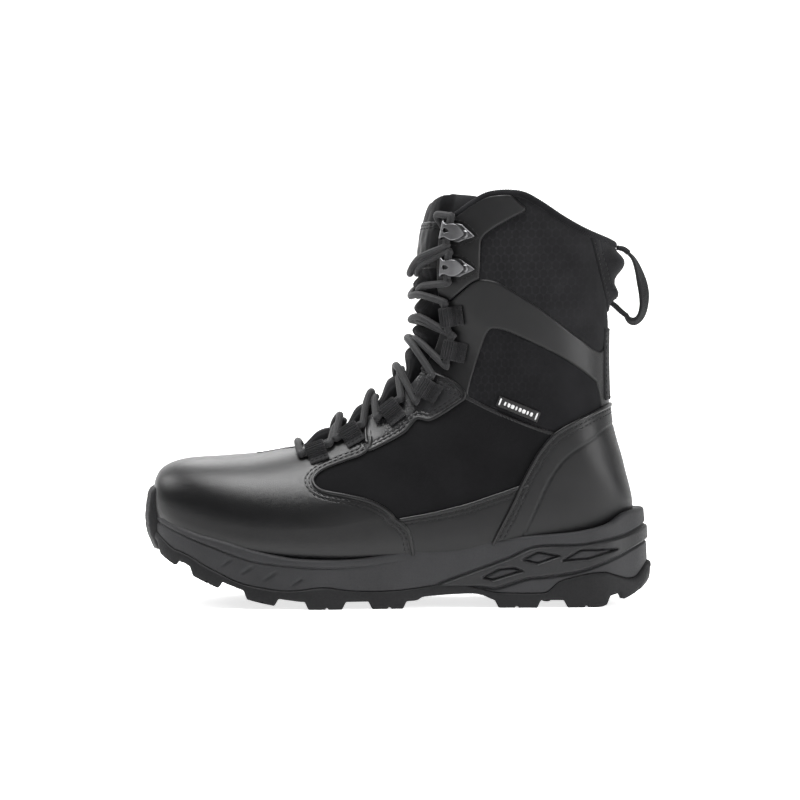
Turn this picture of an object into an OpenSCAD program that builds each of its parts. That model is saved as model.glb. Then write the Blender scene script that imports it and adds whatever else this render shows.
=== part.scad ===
// Lace-up safety work boot, left foot. The toe points along -X, the outer side faces -Y and
// the tread stands on z = 0. Millimetres.

/* [Boot] */
// Overall length, which scales the whole boot
boot_length = 310; // [290:1:330]
// Thickness of the outer leather and fabric panels
panel_t = 2; // [1.6:0.1:2.1]
// Thickness of the steel toe cap and of the heel stiffener
toe_cap_t = 1.8; // [1.5:0.1:1.9]
// Thickness of the lining
lining_t = 1.2; // [1:0.1:1.5]
// Thickness of the tongue's padding
tongue_t = 5; // [4:0.5:6]
// Thickness of the removable footbed
footbed_t = 5; // [4:0.5:6]

/* [Lacing] */
// Diameter of the round lace
lace_d = 4.4; // [4:0.1:4.6]
// Width of the webbing of the lace loops
loop_w = 11.5; // [10:0.5:12]
// Thickness of the webbing of the lace loops
loop_t = 1.2; // [1:0.1:1.4]
// Width of the webbing of the heel pull loop
pull_w = 10; // [8:0.5:11]

/* [Sole] */
// Depth of the tread grooves
groove_d = 5; // [4:0.5:5.5]
// Thickness of the steel shank
shank_t = 2; // [1.5:0.5:2.5]

/* [Hidden] */
design_length = 310;
k = boot_length / design_length;
gap = 0.3;             // clearance between neighbouring layers
ring_step = 0.75;      // stations of the surface grid
arc_step = 18;         // degrees round each section of the grid
cap_depth = 2.3;       // depth of the stiffening layer under the panels
liner_depth = 4.6;     // depth of the lining's outer face in the foot
liner_pad = 4.6;       // further depth of the lining behind the padded shaft
big = 300;

// ---------------------------------------------------------------- curves

// Smooth curve through a list of points or vectors, at t from 0 to its last index
function spline(list, t) =
    let (n = len(list) - 1, i = min(max(floor(t), 0), n - 1), f = t - i,
        p1 = list[i], p2 = list[i + 1],
        p0 = i > 0 ? list[i - 1] : 2 * p1 - p2,
        p3 = i < n - 1 ? list[i + 2] : 2 * p2 - p1)
    0.5 * (2 * p1 + (p2 - p0) * f + (2 * p0 - 5 * p1 + 4 * p2 - p3) * f * f
        + (3 * p1 - p0 - 3 * p2 + p3) * f * f * f);
function curve(list, per = 2) =
    [for (i = [0 : (len(list) - 1) * per]) spline(list, i / per)];
function reverse(list) = [for (i = [len(list) - 1 : -1 : 0]) list[i]];
function unit(v) = v / norm(v);
function ramp(x, a, b) = let (t = min(max((x - a) / (b - a), 0), 1)) t * t * (3 - 2 * t);
function shift(list, v) = [for (p = list) p + v];

// ---------------------------------------------------------------- surface of the upper

// Sections from the toe tip to above the collar, each in a plane across the boot: front x and z,
// back x and z, half width, centre y, where it is widest, roundness of the front and of the back
SECTIONS = [
    [-150,   65,  -150,   60,  1,    10,   0.55, 2.2, 2.4],
    [-148.5, 76,  -148.5, 51,  18,   9.5,  0.55, 2.2, 2.4],
    [-143,   83,  -143,   43,  29.5, 9,    0.58, 2.2, 2.8],
    [-130,   87.5, -130,  36,  39.5, 7.5,  0.62, 2.2, 3.4],
    [-108,   89.3, -108,  30,  48,   4.5,  0.66, 2.1, 4],
    [-80,    92,  -79,    26,  52,   1,    0.68, 1.9, 4.4],
    [-53,    99,  -42,    24,  51.5, -1.5, 0.68, 1.65, 4.4],
    [-28,    113, -2,     24,  46.5, -2.5, 0.66, 1.6, 4.2],
    [-8,     129, 38,     25,  42.5, -3,   0.64, 1.65, 4],
    [4,      143, 76,     26.5, 39.5, -2,  0.6,  1.75, 3.6],
    [10,     157, 109,    29,  38.5, -1,   0.57, 1.9, 3],
    [13,     168, 131,    35,  38,   0,    0.55, 2,   2.6],
    [14,     179, 143.5,  56,  38,   0,    0.54, 2,   2.3],
    [13.5,   190, 138.5,  84,  38.5, 0,    0.53, 2,   2.2],
    [13,     202, 131.5,  111, 39.5, 0,    0.53, 2.1, 2.1],
    [13,     215, 129.3,  143, 41,   0,    0.53, 2.1, 2.1],
    [15,     229, 130,    182, 43,   0,    0.53, 2.1, 2.1],
    [19,     245, 134,    220, 44.5, 0,    0.53, 2.1, 2.1],
    [22,     262, 137,    246, 46,   0,    0.53, 2.1, 2.1]];
LAST = len(SECTIONS) - 1;

function signed_power(v, p) = sign(v) * pow(abs(v), p);
// Point of the surface at station u, a degrees round from the front ridge towards the outer side
function upper(u, a) =
    let (s = spline(SECTIONS, u), c = cos(a),
        p = 2 / (c >= 0 ? s[7] : s[8]),
        t = s[6] - (c >= 0 ? s[6] : 1 - s[6]) * signed_power(c, p),
        y = s[5] - s[4] * signed_power(sin(a), p))
    [s[0] + (s[2] - s[0]) * t, y, s[1] + (s[3] - s[1]) * t];
function along(u, a) = unit(upper(min(u + 0.04, LAST), a) - upper(max(u - 0.04, 0), a));
function normal(u, a) = unit(cross(upper(u, a + 2) - upper(u, a - 2), along(u, a)));
// Point a distance outside the surface; depth(...) also thickens the padded shaft
function outside(u, a, out) = upper(u, a) + out * normal(u, a);
function pad(u) = liner_pad * ramp(u, 12, 15);

RINGS = round(LAST / ring_step);
ARCS = 360 / arc_step;
function ring_u(i) = i == 0 ? 0.3 : i * ring_step;
// The toe's pole and then every ring, moved out by "out" less the shaft's padding if wanted
function grid(out, padded) = concat([[-150 - out, 10, 62.5]],
    [for (i = [0 : RINGS]) for (j = [0 : ARCS - 1])
        outside(ring_u(i), j * arc_step, out - (padded ? pad(ring_u(i)) : 0))]);
function walls(first) = concat(
    [for (j = [0 : ARCS - 1]) [first, first + 1 + j, first + 1 + (j + 1) % ARCS]],
    [for (i = [0 : RINGS - 1]) for (j = [0 : ARCS - 1])
        let (a = first + 1 + i * ARCS + j, b = first + 1 + i * ARCS + (j + 1) % ARCS)
        each [[a, a + ARCS, b], [b, a + ARCS, b + ARCS]]]);
function flip(faces) = [for (f = faces) reverse(f)];

// Everything inside the surface, moved out by a distance
module form(out) {
    top = 1 + RINGS * ARCS;
    polyhedron(grid(out, false),
        concat(walls(0), [[for (j = [ARCS - 1 : -1 : 0]) top + j]]));
}
// A layer like a sock between two offsets from the surface, open at the top
// "padding" thickens the shaft's inner face when 1 and moves the whole layer in when 2.
module sock(outer, inner, padding = 0) {
    n = 1 + (RINGS + 1) * ARCS;
    top = 1 + RINGS * ARCS;
    rim = [for (j = [0 : ARCS - 1])
        let (a = top + j, b = top + (j + 1) % ARCS) each [[a, n + a, b], [b, n + a, n + b]]];
    polyhedron(concat(grid(outer, padding == 2), grid(inner, padding > 0)),
        concat(walls(0), flip(walls(n)), rim));
}

// ---------------------------------------------------------------- outlines in side view

BOTTOM_LINE = [[-162, 74], [-150, 58], [-142, 46], [-130, 38], [-108, 32.5], [-79, 28.5], [-42, 26.5],
    [-2, 26.5], [38, 27.5], [76, 29], [109, 32], [131, 39], [143, 50], [160, 75]];
COLLAR_LINE = [[-40, 208], [10, 224], [31, 232], [45, 241], [56, 246], [72, 246], [83, 241], [98, 231.5],
    [114, 223.5], [133, 217], [160, 208]];
VAMP_EDGE = [[-19, 122], [-16, 112], [-15, 103], [-17, 95.5], [-22, 91], [-33.5, 87], [-45.5, 82],
    [-50, 76.5], [-45.5, 71], [-30.5, 68], [-17.5, 65], [-8, 60.5], [-2, 55.5], [4, 50], [8, 43], [12, 20]];
COUNTER_EDGE = [[146, 126], [130.5, 122], [114, 115], [96, 105.5], [86, 95], [79, 83.5], [74, 74],
    [68, 61], [58.5, 42], [50, 20]];
STRIP_EDGE = [[-3, 54.5], [4, 55.5], [33, 60], [55, 66.5], [74, 73]];
EYESTAY_EDGE = [[-16, 94], [-4, 100], [4.5, 105], [8.5, 109.5], [12, 113], [19, 112], [26.5, 115.5],
    [35.5, 121.5], [41, 126], [38.5, 131.5], [31, 137], [20, 141.5], [0, 152]];
SEAM_EDGE = [[42, 127], [59, 118.5], [84, 108.5], [98, 104]];
ANKLE_EDGE = [[42, 127], [44.5, 138], [50.5, 157], [54, 165], [58.5, 167], [69, 164], [99, 150],
    [118, 137.5], [122, 133], [125, 118]];
BAND_EDGE = [[-10, 160], [10, 170], [31, 184], [46.5, 196], [58.5, 195.5], [65, 192], [81, 182], [93, 173.5],
    [108.5, 162.5], [118.5, 155.5], [123, 153.5], [126, 155], [145, 168]];
HOOK_EDGE = [[46.5, 190], [49, 200], [49.5, 214], [50.5, 221], [56.5, 226.5], [67, 232.5], [76.5, 238],
    [72, 243], [58, 256]];
PAD_EDGE = [[112, 240], [116.5, 223], [118.5, 216], [123.5, 199], [128, 185], [131.5, 176], [150, 172]];
MIDSOLE_TOP = [[-170, 62], [-149, 56.5], [-141, 51], [-125, 45], [-106, 40.5], [-88, 35.5],
    [-72, 32], [-56, 30], [-26, 30], [0, 34], [33, 38.5], [60, 40.5], [80, 43], [110, 45.5], [132, 50.5],
    [145, 57], [170, 60]];
SOLE_SPLIT = [[-170, 60], [-151.3, 45], [-139, 35.5], [-133.5, 33.5], [-125, 30], [-118, 26], [-106, 20.5],
    [-97, 16.5], [-87.5, 14], [-71.5, 11.5], [-60, 11.5], [-48, 13], [-41, 13], [-25.5, 11], [0, 11],
    [28, 14.5], [38, 14.5], [45, 13], [56.5, 10], [66, 9], [87, 9], [92, 11], [98.5, 16],
    [114, 20], [125.5, 21], [130, 20], [140, 17], [146.5, 18], [154, 25], [170, 36]];
GROUND_LINE = [[-158, 44], [-147, 32], [-134, 24], [-118, 16.5], [-103, 10.5], [-90, 6], [-77, 3], [-64, 1],
    [-52, 0], [-20, 0], [9, 0], [17, 2.5], [42, 4], [51, 3], [57, 0.5], [62, 0], [90, 0], [119, 0],
    [127, 1.8], [137, 4.5], [145, 8], [152, 13], [160, 22]];
FRAME_TOP = [[24, 13.5], [30, 16], [44, 21], [66, 29], [83, 36], [110, 37], [132, 41], [143, 44.5], [170, 56]];
FRAME_BOTTOM = [[24, 13], [51, 12.6], [59, 12], [77, 17.5], [88, 18.7], [110, 22], [132, 30], [143, 35], [170, 46]];
FRAME_WINDOWS = [
    [[51, 18], [57, 16.5], [75, 22], [70, 24], [60.5, 23]],
    [[75, 28.6], [84, 26.4], [97, 31], [84, 33.5]],
    [[99, 28], [115, 29], [132, 34.5], [110, 34.5]]];
FOOTBED_LINE = [[-140, 43], [-125, 38], [-105, 33.5], [-79, 30.5], [-42, 29], [0, 29.5], [38, 31.5],
    [76, 33.5], [109, 36], [128, 42], [150, 62]];

module left_of(line) polygon(concat([[-big, line[0][1]]], curve(line), [[-big, line[len(line) - 1][1]]]));
module right_of(line) polygon(concat([[big, line[0][1]]], curve(line), [[big, line[len(line) - 1][1]]]));
module above(line) polygon(concat([[line[0][0], big]], curve(line), [[line[len(line) - 1][0], big]]));
module below(line) polygon(concat([[line[0][0], -big]], curve(line), [[line[len(line) - 1][0], -big]]));

module vamp_2d() left_of(concat([[-19, big]], VAMP_EDGE));
module counter_2d() right_of(COUNTER_EDGE);
module eyestay_2d() difference() {
    left_of(EYESTAY_EDGE);
    vamp_2d();
}
module strip_2d() difference() {
    translate([-3, 0]) square([90, 73]);
    above(STRIP_EDGE);
    vamp_2d();
    counter_2d();
}
module quarter_2d() difference() {
    polygon(concat([[-60, 20], [-60, 127]], curve(SEAM_EDGE), [[140, 88], [140, 20]]));
    vamp_2d();
    counter_2d();
    eyestay_2d();
    strip_2d();
}
module ankle_2d() difference() {
    polygon(concat(curve(ANKLE_EDGE), [[124, 90]], reverse(curve(SEAM_EDGE))));
    quarter_2d();
    counter_2d();
}
module pad_2d() intersection() {
    right_of(PAD_EDGE);
    translate([100, 172]) square([60, 90]);
}
module hook_2d() difference() {
    left_of(concat([[31, 150]], HOOK_EDGE));
    below(BAND_EDGE);
}
module collar_panel_2d() difference() {
    above(BAND_EDGE);
    hook_2d();
    pad_2d();
}
module band_2d() difference() {
    translate([-10, 90]) square([160, 110]);
    above(BAND_EDGE);
    ankle_2d();
    counter_2d();
    quarter_2d();
    eyestay_2d();
    vamp_2d();
    pad_2d();
}

// A side-view shape made solid across the boot: side -1 is the outer half, 1 the inner, 0 both
module across(side = 0) {
    translate([0, side < 0 ? 0 : big, 0])
        rotate([90, 0, 0]) linear_extrude(height = side == 0 ? 2 * big : big) children();
}

// Opening between the eyestays as seen from the front, where the tongue shows
THROAT_SIDE = [[-63, 88], [-52, 92], [-28, 104], [-9, 119], [6, 134], [15, 150], [20, 168], [22, 182],
    [24, 200], [26, 215], [29, 232], [36, 262]];
THROAT_HALF = [[0, 93.5], [7, 95], [11, 98], [12.5, 104], [13, 113], [15, 130], [17.5, 150], [19.5, 170],
    [22, 200], [25, 262]];
module throat(extra) {
    right = [for (p = THROAT_HALF) [max(p[0] + extra, 1), p[1]]];
    left = [for (p = reverse(right)) [-p[0], p[1]]];
    intersection() {
        translate([-80, -1.5, 0]) rotate([90, 0, 90]) linear_extrude(height = 160)
            polygon(concat(right, left));
        across() left_of(shift(THROAT_SIDE, [26, 0]));
    }
}

// One layer of the upper between two offsets, cut by a side-view shape. The empty resize keeps
// the cut of this curved grid as one mesh.
module layer(side, outer, inner, padding = 0, opening = 0, bottom = 0, top = 0) {
    resize([0, 0, 0]) difference() {
        intersection() {
            sock(outer, inner, padding);
            across(side) difference() {
                children();
                below(shift(BOTTOM_LINE, [0, bottom]));
                above(shift(COLLAR_LINE, [0, top]));
            }
        }
        if (opening > 0) throat(opening);
    }
}
module everywhere_2d() translate([-big, 0]) square([2 * big, big]);

// ---------------------------------------------------------------- sole

// Outline of the sole in plan, from the toe round the outer side to the heel and back
SOLE_PLAN = [[-155.5, 12], [-153.5, -5], [-146, -22], [-132, -36], [-112, -46.5], [-85, -53], [-60, -55.5],
    [-35, -54], [-5, -49], [30, -44], [60, -42], [90, -42], [120, -39], [137, -32], [149.5, -19], [155.5, 0],
    [149, 18], [137, 31], [120, 38], [90, 40.5], [60, 39], [30, 38.5], [0, 40], [-30, 46], [-60, 52.5],
    [-90, 55.3], [-120, 51], [-140, 42], [-151.5, 27], [-155.5, 12]];
function plan(d) =
    let (c = curve(SOLE_PLAN), n = len(c) - 1)
    [for (i = [0 : n - 1])
        let (t = unit(c[(i + 1) % n] - c[(i + n - 1) % n])) c[i] + d * [t[1], -t[0]]];

// The midsole's wall leans inwards by "taper" over its height
module sole_block(d, taper = [1, 1]) 
    linear_extrude(height = 80, scale = taper, slices = 1) polygon(plan(d));

// Tread: pairs of side lugs, then centre lugs, as plan polygons; the front and heel groups differ
FRONT_LUGS = [-147, -125, -92, -53, -16];
FRONT_LUG_ENDS = [-126, -95, -77, -33, 5];
HEEL_LUGS = [63, 101, 132];
HEEL_LUG_ENDS = [84, 120, 158];
lug_reach = 26;        // length of a side lug across the sole
lug_slant = 5;

module side_lugs(from, to, side)
    polygon([[from, side * 80], [to, side * 80], [to + lug_slant, side * 24],
        [(from + to) / 2 + lug_slant, side * 18], [from + lug_slant, side * 24]]);
module centre_lugs(from, to)
    polygon([[from + 9, -15], [from + 15, 0], [from + 9, 15], [to + 9, 13], [to + 15, 0], [to + 9, -13]]);
module tread_2d() {
    for (i = [0 : len(FRONT_LUGS) - 1]) {
        side_lugs(FRONT_LUGS[i], FRONT_LUG_ENDS[i], -1);
        side_lugs(FRONT_LUGS[i] - 6, FRONT_LUG_ENDS[i] - 6, 1);
        if (i > 0) centre_lugs(FRONT_LUGS[i] - 10, FRONT_LUG_ENDS[i] - 14);
    }
    for (i = [0 : len(HEEL_LUGS) - 1]) {
        side_lugs(HEEL_LUGS[i], HEEL_LUG_ENDS[i], -1);
        side_lugs(HEEL_LUGS[i], HEEL_LUG_ENDS[i], 1);
    }
    translate([70, -11]) square([26, 22]);
}

module outsole() color([0.13, 0.13, 0.14]) scale(k) resize([0, 0, 0]) {
    intersection() {
        sole_block(0);
        across() difference() {
            above(shift(GROUND_LINE, [0, groove_d]));
            above(SOLE_SPLIT);
        }
    }
    intersection() {
        sole_block(-1);
        linear_extrude(height = 80) tread_2d();
        across() difference() {
            above(GROUND_LINE);
            above(shift(GROUND_LINE, [0, groove_d + 0.5]));
        }
    }
    // bumper wrapped up over the toe
    difference() {
        intersection() {
            sock(5.5, gap);
            across() polygon([[-160, 36], [-149, 36], [-147.5, 50], [-148, 62], [-150, 71], [-160, 72]]);
        }
        midsole_block();
    }
}

lean = [0.965, 0.92];
module midsole_block() intersection() {
    sole_block(-0.5, lean);
    across() difference() {
        above(shift(SOLE_SPLIT, [0, 0.05]));
        above(MIDSOLE_TOP);
        translate([-big, 0]) square([big - 149, big]);
    }
}
module midsole() color([0.2, 0.2, 0.21]) scale(k) resize([0, 0, 0]) difference() {
    midsole_block();
    form(gap);
    shank_shape(0.4);
}

module heel_frame() color([0.32, 0.32, 0.34]) scale(k) resize([0, 0, 0]) intersection() {
    difference() {
        sole_block(1.2, lean);
        sole_block(-0.2, lean);
    }
    across() difference() {
        above(FRAME_BOTTOM);
        above(FRAME_TOP);
        below(shift(SOLE_SPLIT, [0, gap]));
        for (w = FRAME_WINDOWS) polygon(w);
    }
}

module shank_shape(more) intersection() {
    across() polygon(concat(
        shift([[-40 - more, 20.5], [0, 19.5], [40, 20.5], [88 + more, 22.5]], [0, -shank_t + 2 - more]),
        shift([[88 + more, 22.5], [40, 20.5], [0, 19.5], [-40 - more, 20.5]], [0, 2 + (more > 0 ? 9 : 0)])));
    translate([24, 0, 22]) cube([big, 22 + 2 * more, 40], center = true);
}
module shank() color([0.6, 0.6, 0.62]) scale(k) shank_shape(0);

module insole_board() color([0.55, 0.45, 0.33]) scale(k) resize([0, 0, 0]) intersection() {
    sock(-0.1, -liner_depth + 0.5);
    across() below(shift(BOTTOM_LINE, [0, -gap]));
}

module footbed() color([0.16, 0.16, 0.17]) scale(k) resize([0, 0, 0]) intersection() {
    form(-liner_depth - lining_t - 0.7);
    across() intersection() {
        below(shift(FOOTBED_LINE, [0, footbed_t]));
        translate([-126, 0]) square([big, big]);
    }
}

// ---------------------------------------------------------------- inside of the upper

module steel_toe_cap() color([0.62, 0.62, 0.64]) scale(k)
    layer(0, -cap_depth, -cap_depth - toe_cap_t, bottom = 0.5)
        polygon([[-big, 0], [-96, 0], [-92, 60], [-88, big], [-big, big]]);

module toe_cap_gasket() color([0.1, 0.1, 0.1]) scale(k)
    layer(0, -cap_depth, -cap_depth - 1.2, bottom = 0.5)
        polygon([[-95.5, 0], [-91.5, 60], [-87.5, big], [-76, big], [-80, 60], [-84, 0]]);

module heel_stiffener() color([0.75, 0.7, 0.6]) scale(k)
    layer(0, -cap_depth, -cap_depth - toe_cap_t, bottom = 0.5) intersection() {
        right_of(shift(COUNTER_EDGE, [8, -5]));
        translate([0, 20]) square([big, 100]);
    }

module lining() color([0.2, 0.2, 0.2]) scale(k)
    layer(0, -liner_depth, -liner_depth - lining_t, 2, 10, -40, -1) everywhere_2d();

module foam(side) layer(side, -cap_depth, -liner_depth + gap, 1, 10, 0, -1.5) intersection() {
    above(shift(BAND_EDGE, [0, 1]));
    translate([0, 150]) square([big, 150]);
}
module collar_foam_lateral() color([0.35, 0.35, 0.36]) scale(k) foam(-1);
module collar_foam_medial() color([0.35, 0.35, 0.36]) scale(k) foam(1);

// ---------------------------------------------------------------- outer panels

module panel(side, opening = 0.3) layer(side, 0, -panel_t, opening = opening) children();

module vamp() color([0.19, 0.19, 0.2]) scale(k) panel(0) vamp_2d();
module quarter_lateral() color([0.2, 0.2, 0.21]) scale(k) panel(-1) quarter_2d();
module quarter_medial() color([0.2, 0.2, 0.21]) scale(k) panel(1) quarter_2d();
module side_strip_lateral() color([0.18, 0.18, 0.19]) scale(k) panel(-1) strip_2d();
module side_strip_medial() color([0.18, 0.18, 0.19]) scale(k) panel(1) strip_2d();
module eyestay_lateral() color([0.24, 0.24, 0.25]) scale(k) panel(-1) eyestay_2d();
module eyestay_medial() color([0.24, 0.24, 0.25]) scale(k) panel(1) eyestay_2d();
module heel_counter() color([0.18, 0.18, 0.19]) scale(k) panel(0) counter_2d();
module shaft_band_lateral() color([0.22, 0.22, 0.23]) scale(k) panel(-1) band_2d();
module shaft_band_medial() color([0.22, 0.22, 0.23]) scale(k) panel(1) band_2d();
module ankle_panel_lateral() color([0.15, 0.15, 0.16]) scale(k) panel(-1) ankle_2d();
module ankle_panel_medial() color([0.15, 0.15, 0.16]) scale(k) panel(1) ankle_2d();
module collar_panel_lateral() color([0.15, 0.15, 0.16]) scale(k) panel(-1) collar_panel_2d();
module collar_panel_medial() color([0.15, 0.15, 0.16]) scale(k) panel(1) collar_panel_2d();
module hook_panel_lateral() color([0.22, 0.22, 0.23]) scale(k) panel(-1) hook_2d();
module hook_panel_medial() color([0.22, 0.22, 0.23]) scale(k) panel(1) hook_2d();

module achilles_pad() color([0.15, 0.15, 0.16]) scale(k) panel(0) pad_2d();
module achilles_bolster() color([0.17, 0.17, 0.18]) scale(k) resize([0, 0, 0]) intersection() {
    sock(3.5, gap);
    across() intersection() {
        pad_2d();
        translate([130, 178]) square([30, 35]);
    }
}
module back_stay() color([0.12, 0.12, 0.12]) scale(k) resize([0, 0, 0]) intersection() {
    sock(1.3, 0.2);
    across() translate([126, 124]) square([20, 44]);
}
module side_label() color([0.85, 0.85, 0.85]) scale(k) resize([0, 0, 0]) intersection() {
    sock(1, 0.2);
    across(-1) translate([72.5, 119]) rotate(-22) square([27, 6.5], center = true);
}

// ---------------------------------------------------------------- swept tubes

function tangent(p, i) = unit(p[min(i + 1, len(p) - 1)] - p[max(i - 1, 0)]);
// Points of a round tube along a path; "side" is any direction the path never takes
function tube_points(path, r, sides, side) =
    [for (i = [0 : len(path) - 1])
        let (t = tangent(path, i), a = unit(cross(t, side)), b = cross(t, a))
        for (j = [0 : sides - 1]) path[i] + r * (cos(360 * j / sides) * a + sin(360 * j / sides) * b)];
function tube_faces(n, sides) = concat(
    [[for (j = [0 : sides - 1]) j]],
    [for (i = [0 : n - 2]) for (j = [0 : sides - 1])
        let (a = i * sides + j, b = i * sides + (j + 1) % sides)
        each [[a, a + sides, b], [b, a + sides, b + sides]]],
    [[for (j = [sides - 1 : -1 : 0]) (n - 1) * sides + j]]);
module tube(path, d, sides, side)
    polyhedron(tube_points(path, d / 2, sides, side), tube_faces(len(path), sides));

// Station on the surface at angle a where it meets the collar's edge, found by halving
collar_table = curve(COLLAR_LINE, 4);
function rim_u(a, low = 15, high = 18, n = 14) =
    let (u = (low + high) / 2, p = upper(u, a))
    n == 0 ? u : p[2] > lookup(p[0], collar_table) ? rim_u(a, low, u, n - 1) : rim_u(a, u, high, n - 1);
function collar_slope(x) = (lookup(x + 1, collar_table) - lookup(x - 1, collar_table)) / 2;
function on_rim(a) = let (p = outside(rim_u(a), a, -2.3)) p + 2.8 * unit([-collar_slope(p[0]), 0, 1]);
module collar_binding() color([0.1, 0.1, 0.1]) scale(k)
    tube([for (a = [44 : 8 : 316]) on_rim(a)], 4, 8, [0, 0, 1]);

// ---------------------------------------------------------------- tongue

fold_z = 200;
wing_end = 39;         // how far back the tongue's wings reach inside the shaft
module below_fold() across() difference() {
    translate([-70, 80]) square([200, 180]);
    polygon([[-70, 270], [-70, fold_z + 5], [20, fold_z - 0.5], [60, fold_z - 14], [140, fold_z - 40], [140, 270]]);
}
module tongue_body() color([0.17, 0.17, 0.18]) scale(k) resize([0, 0, 0]) intersection() {
    sock(-cap_depth, -cap_depth - tongue_t);
    throat(9.5);
    below_fold();
}
// padding that fills the opening between the eyestays
module tongue_ridge() color([0.17, 0.17, 0.18]) scale(k) resize([0, 0, 0]) intersection() {
    sock(-0.2, -cap_depth + 0.2);
    throat(-1);
    translate([-58, -big, 0]) cube([big, 2 * big, big]);
    below_fold();
}
module tongue_top() color([0.17, 0.17, 0.18]) scale(k) resize([0, 0, 0]) intersection() {
    union() {
        intersection() {
            sock(-8.6, -8.6 - tongue_t + 1);
            throat(6);
        }
        intersection() {
            sock(-0.5, -9.6);
            throat(-6.5);
        }
    }
    translate([-big, -big, 0]) cube([big + wing_end, 2 * big, 2 * big]);
    across() difference() {
        polygon([[-70, 270], [-70, fold_z + 6], [20, fold_z + 0.5], [60, fold_z + 4], [90, fold_z + 6], [90, 270]]);
        above([[-80, 240], [15, 244], [27, 248], [38, 249.5], [60, 246], [90, 240]]);
    }
}
module tongue_patch() color([0.2, 0.2, 0.21]) scale(k) resize([0, 0, 0]) intersection() {
    sock(0.6, -0.3);
    throat(-8);
    across() translate([0, 204]) square([60, 28]);
}

// ---------------------------------------------------------------- lacing

// Station and angle of each loop and hook on the outer side; the inner side mirrors them
LOOPS = [[6.11, 28.7], [6.9, 27.4], [7.96, 29.8], [9.29, 37.5], [11.47, 43.2], [12.95, 42.5]];
HOOKS = [[15.1, 49], [16.2, 46.5]];
lace_r = lace_d / 2;
seat = lace_r + 0.9;   // height of the lace's middle above the leather in a loop
hook_seat = lace_r + 1.7;
ALL_SEATS = concat(LOOPS, HOOKS);

// Place a child, drawn with +x away from the ridge, +y up the throat and +z outward
module on_upper(u, a, side) {
    t = along(u, side * a);
    n = normal(u, side * a);
    w = cross(t, n);
    o = upper(u, side * a);
    multmatrix([[w[0], t[0], n[0], o[0]], [w[1], t[1], n[1], o[1]], [w[2], t[2], n[2], o[2]]])
        mirror([side < 0 ? 1 : 0, 0, 0]) children();
}
// A band of webbing sewn down beside the lace and arched over it
module lace_loop() {
    inner = lace_r + 0.65;
    rotate([90, 0, 0]) difference() {
        union() {
            translate([0, seat, -loop_w / 2]) cylinder(h = loop_w, r = inner + loop_t, $fn = 48);
            translate([-3, 0.4, -loop_w / 2]) cube([inner + 11, loop_t, loop_w]);
        }
        translate([0, seat, -loop_w]) cylinder(h = 2 * loop_w, r = inner, $fn = 48);
        translate([-20, -10, -loop_w]) cube([40, 10.4, 2 * loop_w]);
    }
}
module lace_loops(side) for (p = LOOPS) on_upper(p[0], p[1], side) lace_loop();
module lace_loops_lateral() color([0.28, 0.28, 0.28]) scale(k) lace_loops(1);
module lace_loops_medial() color([0.28, 0.28, 0.28]) scale(k) lace_loops(-1);

hook_w = 11;
hook_t = 1;
module lace_hook() {
    inner = lace_r + 0.65;
    rise = hook_seat;
    // base plate with a rounded point
    translate([0, 0, 0.2]) linear_extrude(height = hook_t)
        polygon([[-3, -hook_w / 2], [5, -hook_w / 2], [9, -3], [15, 0], [9, 3], [5, hook_w / 2], [-3, hook_w / 2]]);
    // bend on the throat side
    rotate([90, 0, 0]) difference() {
        translate([-3, rise, -hook_w / 2]) cylinder(h = hook_w, r = rise - 0.2, $fn = 48);
        translate([-3, rise, -hook_w]) cylinder(h = 2 * hook_w, r = rise - 0.2 - hook_t, $fn = 48);
        translate([-3, -10, -hook_w]) cube([30, 40, 2 * hook_w]);
    }
    // blade over the lace
    translate([0, 0, 2 * rise - 0.2 - hook_t]) linear_extrude(height = hook_t)
        polygon([[-3, -hook_w / 2], [3, -hook_w / 2 - 0.5], [1.5, -2], [6, 0], [1.5, 2], [3, hook_w / 2 + 0.5],
            [-3, hook_w / 2]]);
}
module hooks(side) for (p = HOOKS) on_upper(p[0], p[1], side) lace_hook();
module lace_hooks_lateral() color([0.55, 0.55, 0.56]) scale(k) hooks(1);
module lace_hooks_medial() color([0.55, 0.55, 0.56]) scale(k) hooks(-1);
module hook_rivets() color([0.5, 0.5, 0.5]) scale(k)
    for (side = [-1, 1]) for (p = HOOKS) on_upper(p[0], p[1], side)
        translate([8.5, 0, 0.2 + hook_t]) cylinder(h = 0.8, d1 = 5, d2 = 3.4, $fn = 32);

// Lace: points through one loop or hook, and the crossings between them
function seat_point(n, side, up) =
    let (p = ALL_SEATS[n], high = n < len(LOOPS) ? seat : hook_seat,
        w = cross(along(p[0], side * p[1]), normal(p[0], side * p[1])) * side)
    outside(p[0], side * p[1], high) + up * along(p[0], side * p[1]) + (n < len(LOOPS) ? 0 : -1.5) * w;
function over_ridge(n, from, part, high) =
    let (p = ALL_SEATS[n], q = ALL_SEATS[n + 1], f = 0.5 + part / 2)
    outside(p[0] + (q[0] - p[0]) * (0.3 + 0.4 * f), -from * part * (p[1] + q[1]) / 2, high);
function strand(s) = [for (n = [0 : len(ALL_SEATS) - 1])
    let (side = s * (n % 2 == 0 ? 1 : -1), over = s > 0 ? 3.4 : 8)
    each concat(
        [for (up = [-9.4, -7, 7, 9.4]) seat_point(n, side, up)],
        n == len(ALL_SEATS) - 1 ? [] :
        [over_ridge(n, side, -0.45, (over + 3.5) / 2), over_ridge(n, side, 0, over),
            over_ridge(n, side, 0.45, (over + 3.5) / 2)])];
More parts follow.
